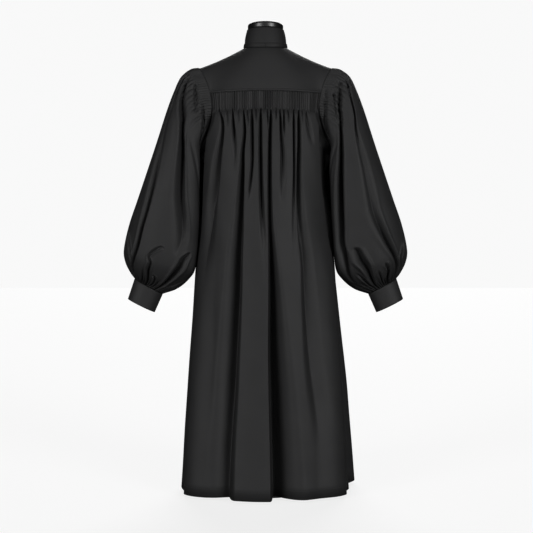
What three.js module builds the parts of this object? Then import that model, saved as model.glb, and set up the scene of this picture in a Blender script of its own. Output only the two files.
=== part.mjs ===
// A choir robe worn by a limbless dress form on a stand.
// Millimetres. +Z is up, the wearer faces -Y and +X is the wearer's left.
// The origin is on the floor, at the middle of the stand's foot.
//
// Every cloth piece is a thin wall on one of three surfaces: the body (a tube of oval sections),
// the yoke (which runs from the neckline over the shoulders) and the sleeve (rings from the
// armhole to the cuff). Folds push these surfaces in, and flutes are raised on their outer side.
import * as THREE from "three";

// ---------------------------------------------------------------- driving sizes
const cloth = 1.5; // thickness of a cloth wall
const seam = 0.3; // gap between two pieces that are sewn together
const hemHeight = 10; // hem above the floor
const backYokeSeam = 1179; // height of the seam under the back yoke
const frontYokeSeam = 1195; // height of the seam under the front yokes
const bandDepth = 54; // depth of the stitched band of flutes
const flutePitch = 5.9; // width of one flute
const fluteRise = 2.2; // how far a flute stands out of the band
const fluteRecess = 1; // how far the bottoms of the flutes lie inside the surface around them
const bandThickness = 2.2; // of the stitched pleats, at the bottoms of the flutes
const neckBand = { height: 13, lean: 1.4 };
const fly = { width: 34, flatMargin: 2, foldMargin: 14, fluteMargin: 3 }; // the strip over the front closure
const formClearance = 0.4; // between the cloth and the form that it rests on
const foldStart = { above: 1127, below: 1094 }; // heights between which the body's folds set in

// Oval sections of the robe's body.
const bodySections = [
  { height: 1195, halfWidth: 188, back: 102, front: 103 },
  { height: 1179, halfWidth: 190, back: 104, front: 106 },
  { height: 1128, halfWidth: 190, back: 108, front: 113 },
  { height: 1108, halfWidth: 192, back: 120, front: 124 },
  { height: 1060, halfWidth: 195, back: 130, front: 133 },
  { height: 1005, halfWidth: 197.5, back: 138, front: 140 },
  { height: 850, halfWidth: 198.5, back: 151, front: 150 },
  { height: 650, halfWidth: 210, back: 168, front: 165 },
  { height: 300, halfWidth: 234, back: 199, front: 192 },
  { height: 10, halfWidth: 252, back: 228, front: 216 },
];

// Folds of the body. Each runs down the cloth through these heights. Angles are in degrees round
// the body: 0 at the wearer's left side, 90 at the middle of the back, 270 at the middle of the
// front. Depth is how far a fold goes in, and a ridge's depth is negative. Its two slopes reach
// this far from its bottom in mm, at the band and at the hem. A fold with a low bend is sharp.
const foldHeights = [1110, 1000, 850, 600, 300, 10];
const backFolds = [
  { angle: [50, 45.6, 39.6, 34, 30, 28], depth: [10, 10, 5, 0, 0, 0],
    left: [16, 30], right: [14, 30], bend: 1.3 },
  { angle: [59, 61.5, 62, 62, 62, 62], depth: [11, 5, 0, 0, 0, 0],
    left: [14, 14], right: [14, 14], bend: 0.9 },
  { angle: [70, 71.5, 69, 68, 67, 64], depth: [12, 12, 13, 16, 20, 22],
    left: [14, 60], right: [13, 36], bend: 1.1 },
  { angle: [78, 78.6, 76.3, 75, 75, 75], depth: [11, 9, 0, 0, 0, 0],
    left: [12, 11], right: [11, 10], bend: 0.9 },
  { angle: [86, 86, 86.3, 87.5, 88, 88], depth: [12, 13, 8, 0, 0, 0],
    left: [12, 18], right: [11, 16], bend: 0.9 },
  { angle: [94, 93.4, 93.7, 94, 96, 97], depth: [13, 16, 19, 27, 42, 58],
    left: [11, 36], right: [14, 66], bend: 1 },
  { angle: [105, 105, 105, 105, 105, 105], depth: [11, 9, 3, 0, 0, 0],
    left: [15, 16], right: [14, 15], bend: 1.2 },
  { angle: [116, 114, 114, 112, 112, 112], depth: [11, 10, 6, 2, 0, 0],
    left: [13, 15], right: [7, 10], bend: 0.9 },
  { angle: [121, 120, 120, 122, 123, 124], depth: [12, 12, 12, 12, 12, 9],
    left: [8, 46], right: [15, 46], bend: 1.3 },
  { angle: [131, 131, 131, 131, 131, 131], depth: [9, 3, 0, 0, 0, 0],
    left: [14, 16], right: [14, 18], bend: 1.2 },
];
const sideFolds = [
  { angle: [180, 180, 180, 179, 179, 179], depth: [0, 0, 0, 12, 30, 38],
    left: [28, 44], right: [28, 50], bend: 1.4 },
  { angle: [199, 199, 199, 199, 200, 201], depth: [0, 0, 0, -11, -33, -42],
    left: [40, 58], right: [40, 90], bend: 1.8 },
  { angle: [345, 345, 345, 346, 347, 348], depth: [0, 0, 0, 8, 13, 18],
    left: [40, 58], right: [40, 58], bend: 1.6 },
];
const frontFolds = [
  { angle: [219, 220, 224, 226, 227, 228], depth: [8, 10, 10, 12, 16, 20],
    left: [16, 52], right: [16, 52], bend: 1.2 },
  { angle: [230, 230, 231, 231, 231, 231], depth: [11, 8, 0, 0, 0, 0],
    left: [14, 15], right: [14, 15], bend: 0.9 },
  { angle: [240, 240, 241, 243, 245, 246], depth: [12, 13, 14, 19, 27, 34],
    left: [13, 52], right: [14, 40], bend: 1.1 },
  { angle: [248, 248, 248, 248, 248, 248], depth: [11, 10, 4, 0, 0, 0],
    left: [14, 14], right: [13, 15], bend: 0.9 },
  { angle: [255, 255, 256, 256, 256, 256], depth: [10, 9, 5, 2, 0, 0],
    left: [13, 15], right: [14, 15], bend: 1.1 },
  { angle: [285, 285, 285, 285, 285, 285], depth: [9, 8, 6, 3, 0, 0],
    left: [14, 15], right: [13, 15], bend: 1.1 },
  { angle: [293, 293, 294, 295, 297, 298], depth: [12, 13, 14, 18, 25, 32],
    left: [14, 40], right: [13, 52], bend: 1.1 },
  { angle: [300, 300, 301, 301, 301, 301], depth: [11, 9, 0, 0, 0, 0],
    left: [14, 14], right: [14, 14], bend: 0.9 },
  { angle: [310, 311, 315, 318, 319, 320], depth: [12, 11, 11, 14, 18, 23],
    left: [14, 52], right: [16, 52], bend: 1.2 },
  { angle: [322, 325, 328, 328, 328, 328], depth: [7, 6, 0, 0, 0, 0],
    left: [16, 20], right: [16, 20], bend: 1.2 },
];
const bodyFolds = [...backFolds, ...sideFolds, ...frontFolds];

// The armhole is a loop in a nearly upright plane. Its angle is 0 at the shoulder, 90 at the back.
// It curves inwards by the inset at its middle. A greater bend keeps that curve to the middle.
const armhole = { middleHeight: 1133, halfHeight: 128, x: 197.5, inset: 40.7, upperBend: 2, lowerBend: 3 };
const armholeBottom = armhole.middleHeight - armhole.halfHeight;
const plainEdge = { width: 30, below: 900 }; // folds fade out this far from an armhole, down to here

// The neckline is an oval that is lower at the front than at the back.
const neckline = { halfWidth: 66, middleY: -4, back: 61, front: 70 };
const necklineHeight = { side: 1320, backDrop: 6, frontDrop: 56 };
const yokeCorner = 40; // degrees round the neck at which the yoke's corners lie
// Where the yoke turns down between its two edges, as shares of the way across and of the drop.
const yokeBend = { sideAcross: 0.43, middleAcross: 0.83, sideDrop: 0.5, middleDrop: 0.36 };

// Rings of the sleeve, at distances along its middle. Each reaches from an outer end to an inner
// end next to the body, and is twice its half depth from front to back. It leans over the body's
// round sides, in front of and behind its inner end.
const sleeveSections = [
  { along: 0, outerX: 197.5, outerZ: 1261, innerX: 197.5, innerZ: 1005, halfDepth: 58, lean: 0 },
  { along: 16, outerX: 223.5, outerZ: 1256.5, innerX: 204, innerZ: 999, halfDepth: 65, lean: 6 },
  { along: 42, outerX: 254, outerZ: 1232.5, innerX: 207, innerZ: 983, halfDepth: 73, lean: 16 },
  { along: 74, outerX: 272, outerZ: 1196.5, innerX: 208, innerZ: 958, halfDepth: 80, lean: 26 },
  { along: 125, outerX: 294.6, outerZ: 1136.5, innerX: 208, innerZ: 918, halfDepth: 86, lean: 30 },
  { along: 198, outerX: 323.4, outerZ: 1046.5, innerX: 207, innerZ: 864, halfDepth: 90, lean: 29 },
  { along: 277, outerX: 353.2, outerZ: 956.5, innerX: 206, innerZ: 800, halfDepth: 93, lean: 27 },
  { along: 351, outerX: 383.4, outerZ: 866.5, innerX: 208, innerZ: 745, halfDepth: 96, lean: 26 },
  { along: 416, outerX: 409, outerZ: 790, innerX: 212, innerZ: 698, halfDepth: 98, lean: 26 },
  { along: 474, outerX: 424.5, outerZ: 716.5, innerX: 221, innerZ: 648, halfDepth: 94, lean: 20 },
  { along: 509, outerX: 420, outerZ: 680, innerX: 238, innerZ: 622, halfDepth: 82, lean: 6 },
  { along: 540, outerX: 404, outerZ: 647, innerX: 270, innerZ: 598, halfDepth: 59, lean: 0 },
  { along: 556, outerX: 392, outerZ: 631, innerX: 309, innerZ: 585, halfDepth: 38, lean: 0 },
];
const cuffWall = { thickness: 2.5, proud: 0.5 };
const cuffMouth = { outerX: 412, outerZ: 570, innerX: 333, innerZ: 530.5, halfDepth: 37 };
const leanBend = 1.6; // how narrowly the sleeve leans over the body
const frontLean = 0.5; // how far it leans in front of the body, as a share of the lean behind it
const insetFade = 90; // distance along the sleeve over which the armhole's shape fades out
const sleeveBand = 20; // the flutes of the sleeve head end here along the sleeve
const sleeveFoldStart = { from: 14, to: 42 }; // the sleeve's folds set in between these
const sleeveFlutes = 34;
const sleeveFluteReach = 98; // the flutes reach this many degrees down each side of the armhole

// Folds of the two sleeves, as for the body. Angles run from the outer end of a ring over the back.
const sleeveLevels = [25, 125, 277, 416, 509, 550];
const leftSleeveFolds = [
  { angle: [40, 52, 58, 60, 62, 62], depth: [9, 12, 6, 0, 0, 0],
    left: [26, 40], right: [24, 36], bend: 1.3 },
  { angle: [74, 92, 104, 112, 116, 116], depth: [9, 13, 13, 8, 0, 0],
    left: [30, 34], right: [30, 34], bend: 1.3 },
  { angle: [20, 26, 36, 38, 38, 40], depth: [4, 7, 10, 14, 12, 4],
    left: [34, 26], right: [30, 24], bend: 1.2 },
  { angle: [110, 136, 144, 148, 150, 150], depth: [0, 7, 8, 6, 0, 0],
    left: [24, 30], right: [24, 30], bend: 1.3 },
  { angle: [318, 312, 306, 304, 304, 304], depth: [8, 12, 13, 8, 0, 0],
    left: [26, 34], right: [26, 34], bend: 1.2 },
  { angle: [282, 268, 254, 248, 246, 246], depth: [10, 14, 13, 9, 0, 0],
    left: [24, 32], right: [24, 32], bend: 1.2 },
];
const rightSleeveFolds = [
  { angle: [38, 50, 54, 52, 48, 44], depth: [9, 11, 10, 10, 10, 4],
    left: [32, 26], right: [32, 26], bend: 1.3 },
  { angle: [78, 98, 112, 122, 126, 126], depth: [10, 14, 15, 12, 8, 2],
    left: [30, 30], right: [30, 30], bend: 1.3 },
  { angle: [110, 140, 150, 152, 152, 152], depth: [0, 7, 7, 4, 0, 0],
    left: [24, 30], right: [24, 30], bend: 1.3 },
  { angle: [316, 308, 300, 298, 298, 298], depth: [8, 13, 12, 7, 0, 0],
    left: [26, 34], right: [26, 34], bend: 1.2 },
  { angle: [280, 264, 250, 244, 242, 242], depth: [10, 13, 14, 9, 0, 0],
    left: [24, 32], right: [24, 32], bend: 1.2 },
];
// Gathers that the cuff pulls in: they deepen from the start and are shallow again at the end.
const gathers = { count: 14, depth: 9, start: 440, deepest: 542, end: 556, heldBack: 0.7 };

// The form that wears the robe: its neck, and the trunk's sections below the shoulders.
const neckTop = { height: 1377, halfWidth: 55.5, middleY: -10, halfDepth: 54, bulge: 1.5 };
const shoulderShare = 0.86; // the form follows the yoke this far, and rounds in below it
const trunkSections = [
  { height: 1140, halfWidth: 164, back: 92, front: 94 },
  { height: 1085, halfWidth: 156, back: 90, front: 106 },
  { height: 1000, halfWidth: 138, back: 84, front: 98 },
  { height: 925, halfWidth: 122, back: 80, front: 84 },
  { height: 830, halfWidth: 146, back: 98, front: 90 },
  { height: 740, halfWidth: 160, back: 106, front: 94 },
  { height: 650, halfWidth: 150, back: 98, front: 88 },
];
const cap = { bottom: 1377.3, top: 1398, radius: 53, edge: 7, crown: 2 };
const pole = { radius: 14, flangeRadius: 48, flangeDepth: 8 };
const foot = { radius: 132, rim: 7, dome: 16, bossRadius: 26, bossTop: 66, socketFloor: 20 };

// ---------------------------------------------------------------- small helpers
const { clamp, degToRad, lerp, radToDeg, smoothstep } = THREE.MathUtils;
const at = (x, y, z) => new THREE.Vector3(x, y, z);
const turned = (degrees) => ((((degrees + 180) % 360) + 360) % 360) - 180;
const evenly = (from, to, count) => Array.from({ length: count + 1 }, (_, i) => lerp(from, to, i / count));

// The step of a rising or falling list of keys that a place lies in, and its share of that step.
function stepOf(keys, place) {
  const last = keys.length - 1;
  const direction = Math.sign(keys[last] - keys[0]);
  let i = 0;
  while (i < last - 1 && (place - keys[i + 1]) * direction > 0) i += 1;
  return { i, share: clamp((place - keys[i]) / (keys[i + 1] - keys[i]), 0, 1) };
}

// A column of a table at a place along its key column, smooth through the rows.
function read(rows, key, place, column) {
  const keys = rows.map((row) => row[key]);
  const { i, share } = stepOf(keys, place);
  const slope = (a, b) => (rows[b][column] - rows[a][column]) / (keys[b] - keys[a]);
  const span = keys[i + 1] - keys[i];
  const startSlope = slope(Math.max(i - 1, 0), i + 1) * span;
  const endSlope = slope(i, Math.min(i + 2, rows.length - 1)) * span;
  const rise = rows[i + 1][column] - rows[i][column];
  const bent = share ** 2 * (3 * rise - 2 * startSlope - endSlope);
  return rows[i][column] + share * startSlope + bent + share ** 3 * (startSlope + endSlope - 2 * rise);
}

// One of a fold's columns at a level, eased between the levels.
function level(values, levels, place) {
  const { i, share } = stepOf(levels, place);
  return lerp(values[i], values[i + 1], (share + smoothstep(share, 0, 1)) / 2);
}

// How far one slope of a fold reaches at a level.
function reachOf(fold, isLeft, levels, place) {
  const [first, last] = isLeft ? fold.left : fold.right;
  return lerp(first, last, clamp((place - levels[0]) / (levels.at(-1) - levels[0]), 0, 1));
}

// How far the folds push a surface in at an angle and level. A degree there is perDegree long.
function foldDepth(folds, levels, angle, place, perDegree) {
  let depth = 0;
  for (const fold of folds) {
    const distance = turned(angle - level(fold.angle, levels, place)) * perDegree;
    const share = Math.min(Math.abs(distance) / reachOf(fold, distance < 0, levels, place), 1);
    depth += level(fold.depth, levels, place) * (1 - Math.sin((share * Math.PI) / 2) ** fold.bend);
  }
  return depth;
}

// The unit normal of a surface(u, v), from the directions of u and v.
function normalOf(surface, u, v, stepU, stepV) {
  const alongU = surface(u + stepU, v).sub(surface(u - stepU, v));
  const alongV = surface(u, v + stepV).sub(surface(u, v - stepV));
  return alongU.cross(alongV).normalize();
}

// ---------------------------------------------------------------- the three surfaces
function loopX(turn) {
  const bend = Math.cos(turn) > 0 ? armhole.upperBend : armhole.lowerBend;
  return armhole.x - armhole.inset * Math.abs(Math.sin(turn)) ** bend;
}
const loopTurnAt = (height) => Math.acos(clamp((height - armhole.middleHeight) / armhole.halfHeight, -1, 1));

// The body's angle at which the armhole cuts it, at a height.
function bodyEdge(height) {
  if (height <= armholeBottom) return 0;
  const halfWidth = read(bodySections, "height", height, "halfWidth");
  return radToDeg(Math.acos(clamp(loopX(loopTurnAt(height)) / halfWidth, -1, 1)));
}

// The body's outer surface without flutes. Its folds fade out towards the armholes and the band.
function bodySurface(angle, height) {
  const halfWidth = read(bodySections, "height", height, "halfWidth");
  const turn = degToRad(angle);
  const halfDepth = read(bodySections, "height", height, Math.sin(turn) > 0 ? "back" : "front");
  const perDegree = degToRad(1) * Math.hypot(halfWidth * Math.sin(turn), halfDepth * Math.cos(turn));
  const fromSide = Math.min(Math.abs(turned(angle)), Math.abs(turned(angle - 180)));
  const fromEdge = smoothstep((fromSide - bodyEdge(height)) * perDegree, 0, plainEdge.width);
  const edgeFade = lerp(1, fromEdge, smoothstep(height, plainEdge.below, armholeBottom));
  const fromFly = Math.abs(turned(angle - 270)) * perDegree - fly.width / 2;
  const flyFade = smoothstep(fromFly, fly.flatMargin, fly.foldMargin);
  const released = 1 - smoothstep(height, foldStart.below, foldStart.above);
  const inward = foldDepth(bodyFolds, foldHeights, angle, height, perDegree) * edgeFade * flyFade * released;
  const normal = at(Math.cos(turn) / halfWidth, Math.sin(turn) / halfDepth, 0).normalize();
  return at(halfWidth * Math.cos(turn), halfDepth * Math.sin(turn), height).addScaledVector(normal, -inward);
}
const bodyNormal = (angle, height) => normalOf(bodySurface, angle, height, 0.1, 0.5);

// The armhole's loop on the wearer's left, by its angle in degrees.
function armholePoint(loopAngle) {
  const turn = degToRad(turned(loopAngle));
  const side = turn > 0 ? 1 : -1;
  const height = armhole.middleHeight + armhole.halfHeight * Math.cos(turn);
  const yokeSeam = side > 0 ? backYokeSeam : frontYokeSeam;
  const bodyHeight = Math.min(height, yokeSeam);
  const overYoke = height > yokeSeam ? Math.sin(Math.abs(turn)) / Math.sin(loopTurnAt(yokeSeam)) : 1;
  return at(loopX(turn), bodySurface(side * bodyEdge(bodyHeight), bodyHeight).y * overYoke, height);
}

// The neckline, by the angle round the neck: 0 at the wearer's left, 90 at the back.
function necklinePoint(angle) {
  const turn = degToRad(angle);
  const toBack = Math.sin(turn) > 0;
  const drop = (toBack ? necklineHeight.backDrop : necklineHeight.frontDrop) * Math.sin(turn) ** 2;
  const y = neckline.middleY + (toBack ? neckline.back : neckline.front) * Math.sin(turn);
  return at(neckline.halfWidth * Math.cos(turn), y, necklineHeight.side - drop);
}

// The yoke's outer edge: along the armhole near the shoulder, and along the yoke's seam elsewhere.
function yokeEdge(angle) {
  const onLeft = Math.cos(degToRad(angle)) >= 0;
  const fromShoulder = onLeft ? turned(angle) : turned(180 - angle); // positive towards the back
  const side = fromShoulder > 0 ? 1 : -1;
  const yokeSeam = side > 0 ? backYokeSeam : frontYokeSeam;
  const past = (Math.abs(fromShoulder) - yokeCorner) / (90 - yokeCorner);
  const point =
    past <= 0
      ? armholePoint((fromShoulder / yokeCorner) * radToDeg(loopTurnAt(yokeSeam)))
      : bodySurface(side * lerp(bodyEdge(yokeSeam), 90, past), yokeSeam);
  return onLeft ? point : point.setX(-point.x);
}

// The yoke's outer surface, from the neckline at share 0 to its outer edge at share 1.
function yokeSurface(angle, share) {
  const neck = necklinePoint(angle);
  const edge = yokeEdge(angle);
  const toFrontOrBack = Math.sin(degToRad(angle)) ** 2;
  const across = lerp(yokeBend.sideAcross, yokeBend.middleAcross, toFrontOrBack);
  const drop = lerp(yokeBend.sideDrop, yokeBend.middleDrop, toFrontOrBack);
  const bend = edge.clone().sub(neck).multiply(at(across, across, drop)).add(neck);
  return new THREE.QuadraticBezierCurve3(neck, bend, edge).getPoint(share);
}
const yokeNormal = (angle, share) =>
  normalOf(yokeSurface, angle, clamp(share, 0.005, 0.995), 0.1, 0.005).negate();

// The left sleeve's outer surface without flutes, by the angle round a ring and the way along.
function sleeveSurface(folds, angle, along) {
  const turn = degToRad(angle);
  const column = (name) => read(sleeveSections, "along", along, name);
  const outer = at(column("outerX"), 0, column("outerZ"));
  const inner = at(column("innerX"), 0, column("innerZ"));
  const halfDepth = column("halfDepth");
  const toOuter = outer.clone().sub(inner).multiplyScalar(0.5);
  const halfWidth = toOuter.length();
  const point = outer.add(inner).multiplyScalar(0.5).addScaledVector(toOuter, Math.cos(turn));
  point.y += halfDepth * Math.sin(turn);
  const leaning = column("lean") * (Math.sin(turn) > 0 ? 1 : frontLean);
  if (Math.cos(turn) < 0) point.x -= leaning * Math.abs(Math.sin(2 * turn)) ** leanBend;
  const loopHeight = armhole.middleHeight + armhole.halfHeight * Math.cos(turn);
  const plainLoop = at(armhole.x, sleeveSections[0].halfDepth * Math.sin(turn), loopHeight);
  point.addScaledVector(armholePoint(angle).sub(plainLoop), clamp(1 - along / insetFade, 0, 1) ** 2);
  const perDegree = degToRad(1) * Math.hypot(halfWidth * Math.sin(turn), halfDepth * Math.cos(turn));
  const released = smoothstep(along, sleeveFoldStart.from, sleeveFoldStart.to);
  const heldBack = gathers.heldBack * smoothstep(along, gathers.deepest, gathers.end);
  const pulledIn = smoothstep(along, gathers.start, gathers.deepest) * (1 - heldBack);
  const gathered = gathers.depth * pulledIn * (1 - Math.abs(Math.cos((turn * gathers.count) / 2)));
  const inward = foldDepth(folds, sleeveLevels, angle, along, perDegree) * released + gathered;
  const normal = toOuter.multiplyScalar(Math.cos(turn) / halfWidth ** 2).setY(Math.sin(turn) / halfDepth);
  return point.addScaledVector(normal.normalize(), -inward);
}

// ---------------------------------------------------------------- building solids
// Adds the triangles between two rows of points, each with its place along the row.
function stitch(corners, upper, lower) {
  let i = 0;
  let j = 0;
  while (i < upper.length - 1 || j < lower.length - 1) {
    const nextUpper = i < upper.length - 1 ? upper[i + 1].place + upper[i].place : Infinity;
    const nextLower = j < lower.length - 1 ? lower[j + 1].place + lower[j].place : Infinity;
    corners.push(upper[i].point, lower[j].point);
    if (nextUpper <= nextLower) i += 1;
    else j += 1;
    corners.push(nextUpper <= nextLower ? upper[i].point : lower[j].point);
  }
}

// A geometry from the corners of triangles, turned to face out, without triangles of no size.
function solidFrom(corners) {
  const kept = [];
  let volume = 0;
  for (let k = 0; k < corners.length; k += 3) {
    const [a, b, c] = corners.slice(k, k + 3);
    if (Math.min(a.distanceTo(b), b.distanceTo(c), c.distanceTo(a)) < 0.002) continue;
    kept.push(a, b, c);
    volume += a.clone().cross(b).dot(c);
  }
  if (volume < 0) kept.reverse();
  const geometry = new THREE.BufferGeometry().setFromPoints(kept);
  geometry.computeVertexNormals();
  return geometry;
}

// A closed solid between an outer and an inner skin, each a list of rows. The rows of a tube end
// where they start. Those of an open wall have a rim at each end.
function wall(outer, inner, isTube) {
  const corners = [];
  const reversed = [];
  for (let k = 0; k < outer.length - 1; k += 1) stitch(corners, outer[k], outer[k + 1]);
  for (let k = 0; k < inner.length - 1; k += 1) stitch(reversed, inner[k], inner[k + 1]);
  stitch(reversed, outer[0], inner[0]);
  stitch(corners, outer.at(-1), inner.at(-1));
  if (!isTube) {
    const side = (rows, end) => rows.map((row, k) => ({ place: k, point: row.at(end).point }));
    stitch(reversed, side(inner, 0), side(outer, 0));
    stitch(corners, side(inner, -1), side(outer, -1));
  }
  for (let k = 0; k < reversed.length; k += 3) corners.push(reversed[k], reversed[k + 2], reversed[k + 1]);
  return solidFrom(corners);
}

// A solid of rings with a flat lid on each end.
function loft(rings) {
  const corners = [];
  for (let k = 0; k < rings.length - 1; k += 1) stitch(corners, rings[k], rings[k + 1]);
  for (const [ring, isFirst] of [[rings[0], true], [rings.at(-1), false]]) {
    const points = ring.map(({ point }) => point);
    const middle = at(0, 0, 0);
    points.slice(1).forEach((point) => middle.addScaledVector(point, 1 / (points.length - 1)));
    for (let k = 1; k < points.length; k += 1) {
      corners.push(middle, isFirst ? points[k - 1] : points[k], isFirst ? points[k] : points[k - 1]);
    }
  }
  return solidFrom(corners);
}

const rowOf = (places, pointAt) => places.map((place) => ({ place, point: pointAt(place) }));
const mirrored = ({ place, point }) => ({ place, point: point.setX(-point.x) });
const mirrorRows = (rows) => rows.map((row) => row.map(mirrored));

// ---------------------------------------------------------------- materials
const blackCloth = new THREE.MeshStandardMaterial({ color: 0x2b2b2b, roughness: 0.85, metalness: 0 });
const formCover = new THREE.MeshStandardMaterial({ color: 0x252525, roughness: 0.9, metalness: 0 });
const glossBlack = new THREE.MeshStandardMaterial({ color: 0x111111, roughness: 0.25, metalness: 0 });
const blackSteel = new THREE.MeshStandardMaterial({ color: 0x1a1a1a, roughness: 0.5, metalness: 0.6 });

const part = new THREE.Group();
function add(name, geometry, material) {
  const mesh = new THREE.Mesh(geometry, material);
  mesh.name = name;
  part.add(mesh);
}

// ---------------------------------------------------------------- body panels
// Heights at which the panels have rows. Those above the armhole's bottom are corners of its loop.
const bandBottom = backYokeSeam - bandDepth;
const armholeHeights = [1150, bandBottom, 1110, 1092, 1066, 1040, 1018, 1009, armholeBottom];
const skirtHeights = [930, 850, 740, 600, 450, 300, 150, hemHeight];
const widestStep = 30; // mm between two columns of a panel
const narrowestStep = 5.5;
const panelRadius = 175; // a typical radius of the body, by which columns are spaced
const bandRadius = 150; // the same at the band, by which flutes are counted

// Places across a row: every fold gets its bottom, its slopes and its edges.
function foldPlaces(height, from, to) {
  const perDegree = degToRad(panelRadius);
  const wanted = [];
  for (const fold of bodyFolds) {
    if (Math.abs(level(fold.depth, foldHeights, height)) < 1.5) continue;
    for (const share of [-1, -0.45, -0.15, 0, 0.15, 0.45, 1]) {
      const reach = reachOf(fold, share < 0, foldHeights, height);
      wanted.push(level(fold.angle, foldHeights, height) + (share * reach) / perDegree);
    }
  }
  const kept = [from];
  const inside = wanted.filter((place) => place > from && place < to).sort((a, b) => a - b);
  for (const place of [...inside, to]) {
    const gap = (place - kept.at(-1)) * perDegree;
    if (gap < narrowestStep && place !== to) continue;
    kept.push(...evenly(kept.at(-1), place, Math.max(Math.ceil(gap / widestStep), 1)).slice(1));
  }
  return kept;
}

// A panel of the body. Its edges and the first and last of its flutes are functions of height
// that give angles.
function bodyPanel({ top, from, to, firstFlute, lastFlute }) {
  const outer = [];
  const inner = [];
  for (const height of [top - seam / 2, ...armholeHeights, ...skirtHeights]) {
    const inBand = height >= bandBottom;
    const isTop = height > armholeHeights[0];
    const [first, last] = [firstFlute(height), lastFlute(height)];
    const flutes = Math.round(((last - first) * degToRad(bandRadius)) / flutePitch);
    const rise = (angle) => {
      const turn = clamp((angle - first) / (last - first), 0, 1) * flutes * Math.PI;
      return inBand ? fluteRise * Math.sin(turn) ** 2 - fluteRecess : 0;
    };
    const moved = (angle, out) => bodySurface(angle, height).addScaledVector(bodyNormal(angle, height), out);
    const places = foldPlaces(height, from(height), to(height));
    const fluted = [from(height), ...evenly(first, last, flutes * 2), to(height)];
    const plain = evenly(from(height), to(height), 12);
    const back = inBand ? bandThickness + fluteRecess : cloth;
    outer.push(rowOf(inBand ? fluted : places, (angle) => moved(angle, rise(angle))));
    const innerPlaces = height > bandBottom ? plain : places;
    inner.push(rowOf(isTop ? fluted : innerPlaces, (angle) => moved(angle, -back)));
  }
  return wall(outer, inner, false);
}

const sideGap = radToDeg(seam / 2 / bodySections.at(-1).halfWidth);
const frontRadius = bodySections[0].front; // the least, so that the gap is never under half a seam
const frontGap = radToDeg(seam / 2 / frontRadius);
const flyEdge = radToDeg((fly.width / 2 + fly.fluteMargin) / frontRadius);
const fluteMargin = 0.8; // degrees between a panel's edge and its flutes
const sideEdge = (height) => Math.max(bodyEdge(height), sideGap);
const fluteEdge = (height) => sideEdge(height) + fluteMargin;

add("back_panel", bodyPanel({
  top: backYokeSeam,
  from: sideEdge,
  to: (height) => 180 - sideEdge(height),
  firstFlute: fluteEdge,
  lastFlute: (height) => 180 - fluteEdge(height),
}), blackCloth);
add("front_panel_left", bodyPanel({
  top: frontYokeSeam,
  from: () => 270 + frontGap,
  to: (height) => 360 - sideEdge(height),
  firstFlute: () => 270 + flyEdge,
  lastFlute: (height) => 360 - fluteEdge(height),
}), blackCloth);
add("front_panel_right", bodyPanel({
  top: frontYokeSeam,
  from: (height) => 180 + sideEdge(height),
  to: () => 270 - frontGap,
  firstFlute: (height) => 180 + fluteEdge(height),
  lastFlute: () => 270 - flyEdge,
}), blackCloth);

// ---------------------------------------------------------------- yokes
const yokeShares = [0, 0.2, 0.45, 0.7, 0.88, 1];
const shoulderSteps = 5; // columns of a yoke between the shoulder seam and a corner
const seamSteps = 5; // columns between a corner and the middle
const quarter = [...evenly(0, yokeCorner, shoulderSteps), ...evenly(yokeCorner, 90, seamSteps).slice(1)];
const backAngles = [...quarter, ...quarter.slice(0, -1).reverse().map((angle) => 180 - angle)];
const frontRightAngles = quarter.map((angle) => 180 + angle);
const frontLeftAngles = quarter.map((angle) => 360 - angle).reverse();

// A yoke piece through these angles. Its ends stand back by half a seam, and so does its lower
// edge, whose rim is level above the panel's.
function yokePiece(angles) {
  const away = (edge, next, share) =>
    yokeSurface(next, share).sub(yokeSurface(edge, share)).setLength(seam / 2);
  const moved = (angle, share, out) => {
    const onSeam = share === 1 && Math.abs(Math.sin(degToRad(angle))) > Math.sin(degToRad(yokeCorner - 1));
    const normal = yokeNormal(angle, share);
    if (onSeam) normal.setZ(0).normalize();
    const point = yokeSurface(angle, share).addScaledVector(normal, out);
    if (onSeam) point.z += seam / 2;
    if (angle === angles[0]) point.add(away(angle, angles[1], share));
    if (angle === angles.at(-1)) point.add(away(angle, angles.at(-2), share));
    return point;
  };
  const skin = (out) => yokeShares.map((share) => rowOf(angles, (angle) => moved(angle, share, out)));
  return wall(skin(0), skin(-cloth), false);
}

add("back_yoke", yokePiece(backAngles), blackCloth);
add("front_yoke_right", yokePiece(frontRightAngles), blackCloth);
add("front_yoke_left", yokePiece(frontLeftAngles), blackCloth);

// ---------------------------------------------------------------- sleeves
// The armhole's corners: those of the yokes' edges and of the panels' rows.
const cornersTo = (yokeSeam) => [
  ...evenly(0, radToDeg(loopTurnAt(yokeSeam)), shoulderSteps).slice(1),
  ...armholeHeights.map((height) => radToDeg(loopTurnAt(height))),
];
const loopAngles = [
  ...cornersTo(frontYokeSeam).map((angle) => -angle).reverse(),
  0,
  ...cornersTo(backYokeSeam),
];
const sleeveRows = [30, 46, 70, 105, 155, 215, 277, 340, 395, 440, 478, 510, 538, 556];
const sleeveColumns = evenly(-180, 180, gathers.count * 2);

// The armhole between its corners, straight as the panels' edges are.
function armholeChord(angle) {
  const { i, share } = stepOf(loopAngles, angle);
  return armholePoint(loopAngles[i]).lerp(armholePoint(loopAngles[i + 1]), share);
}

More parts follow.
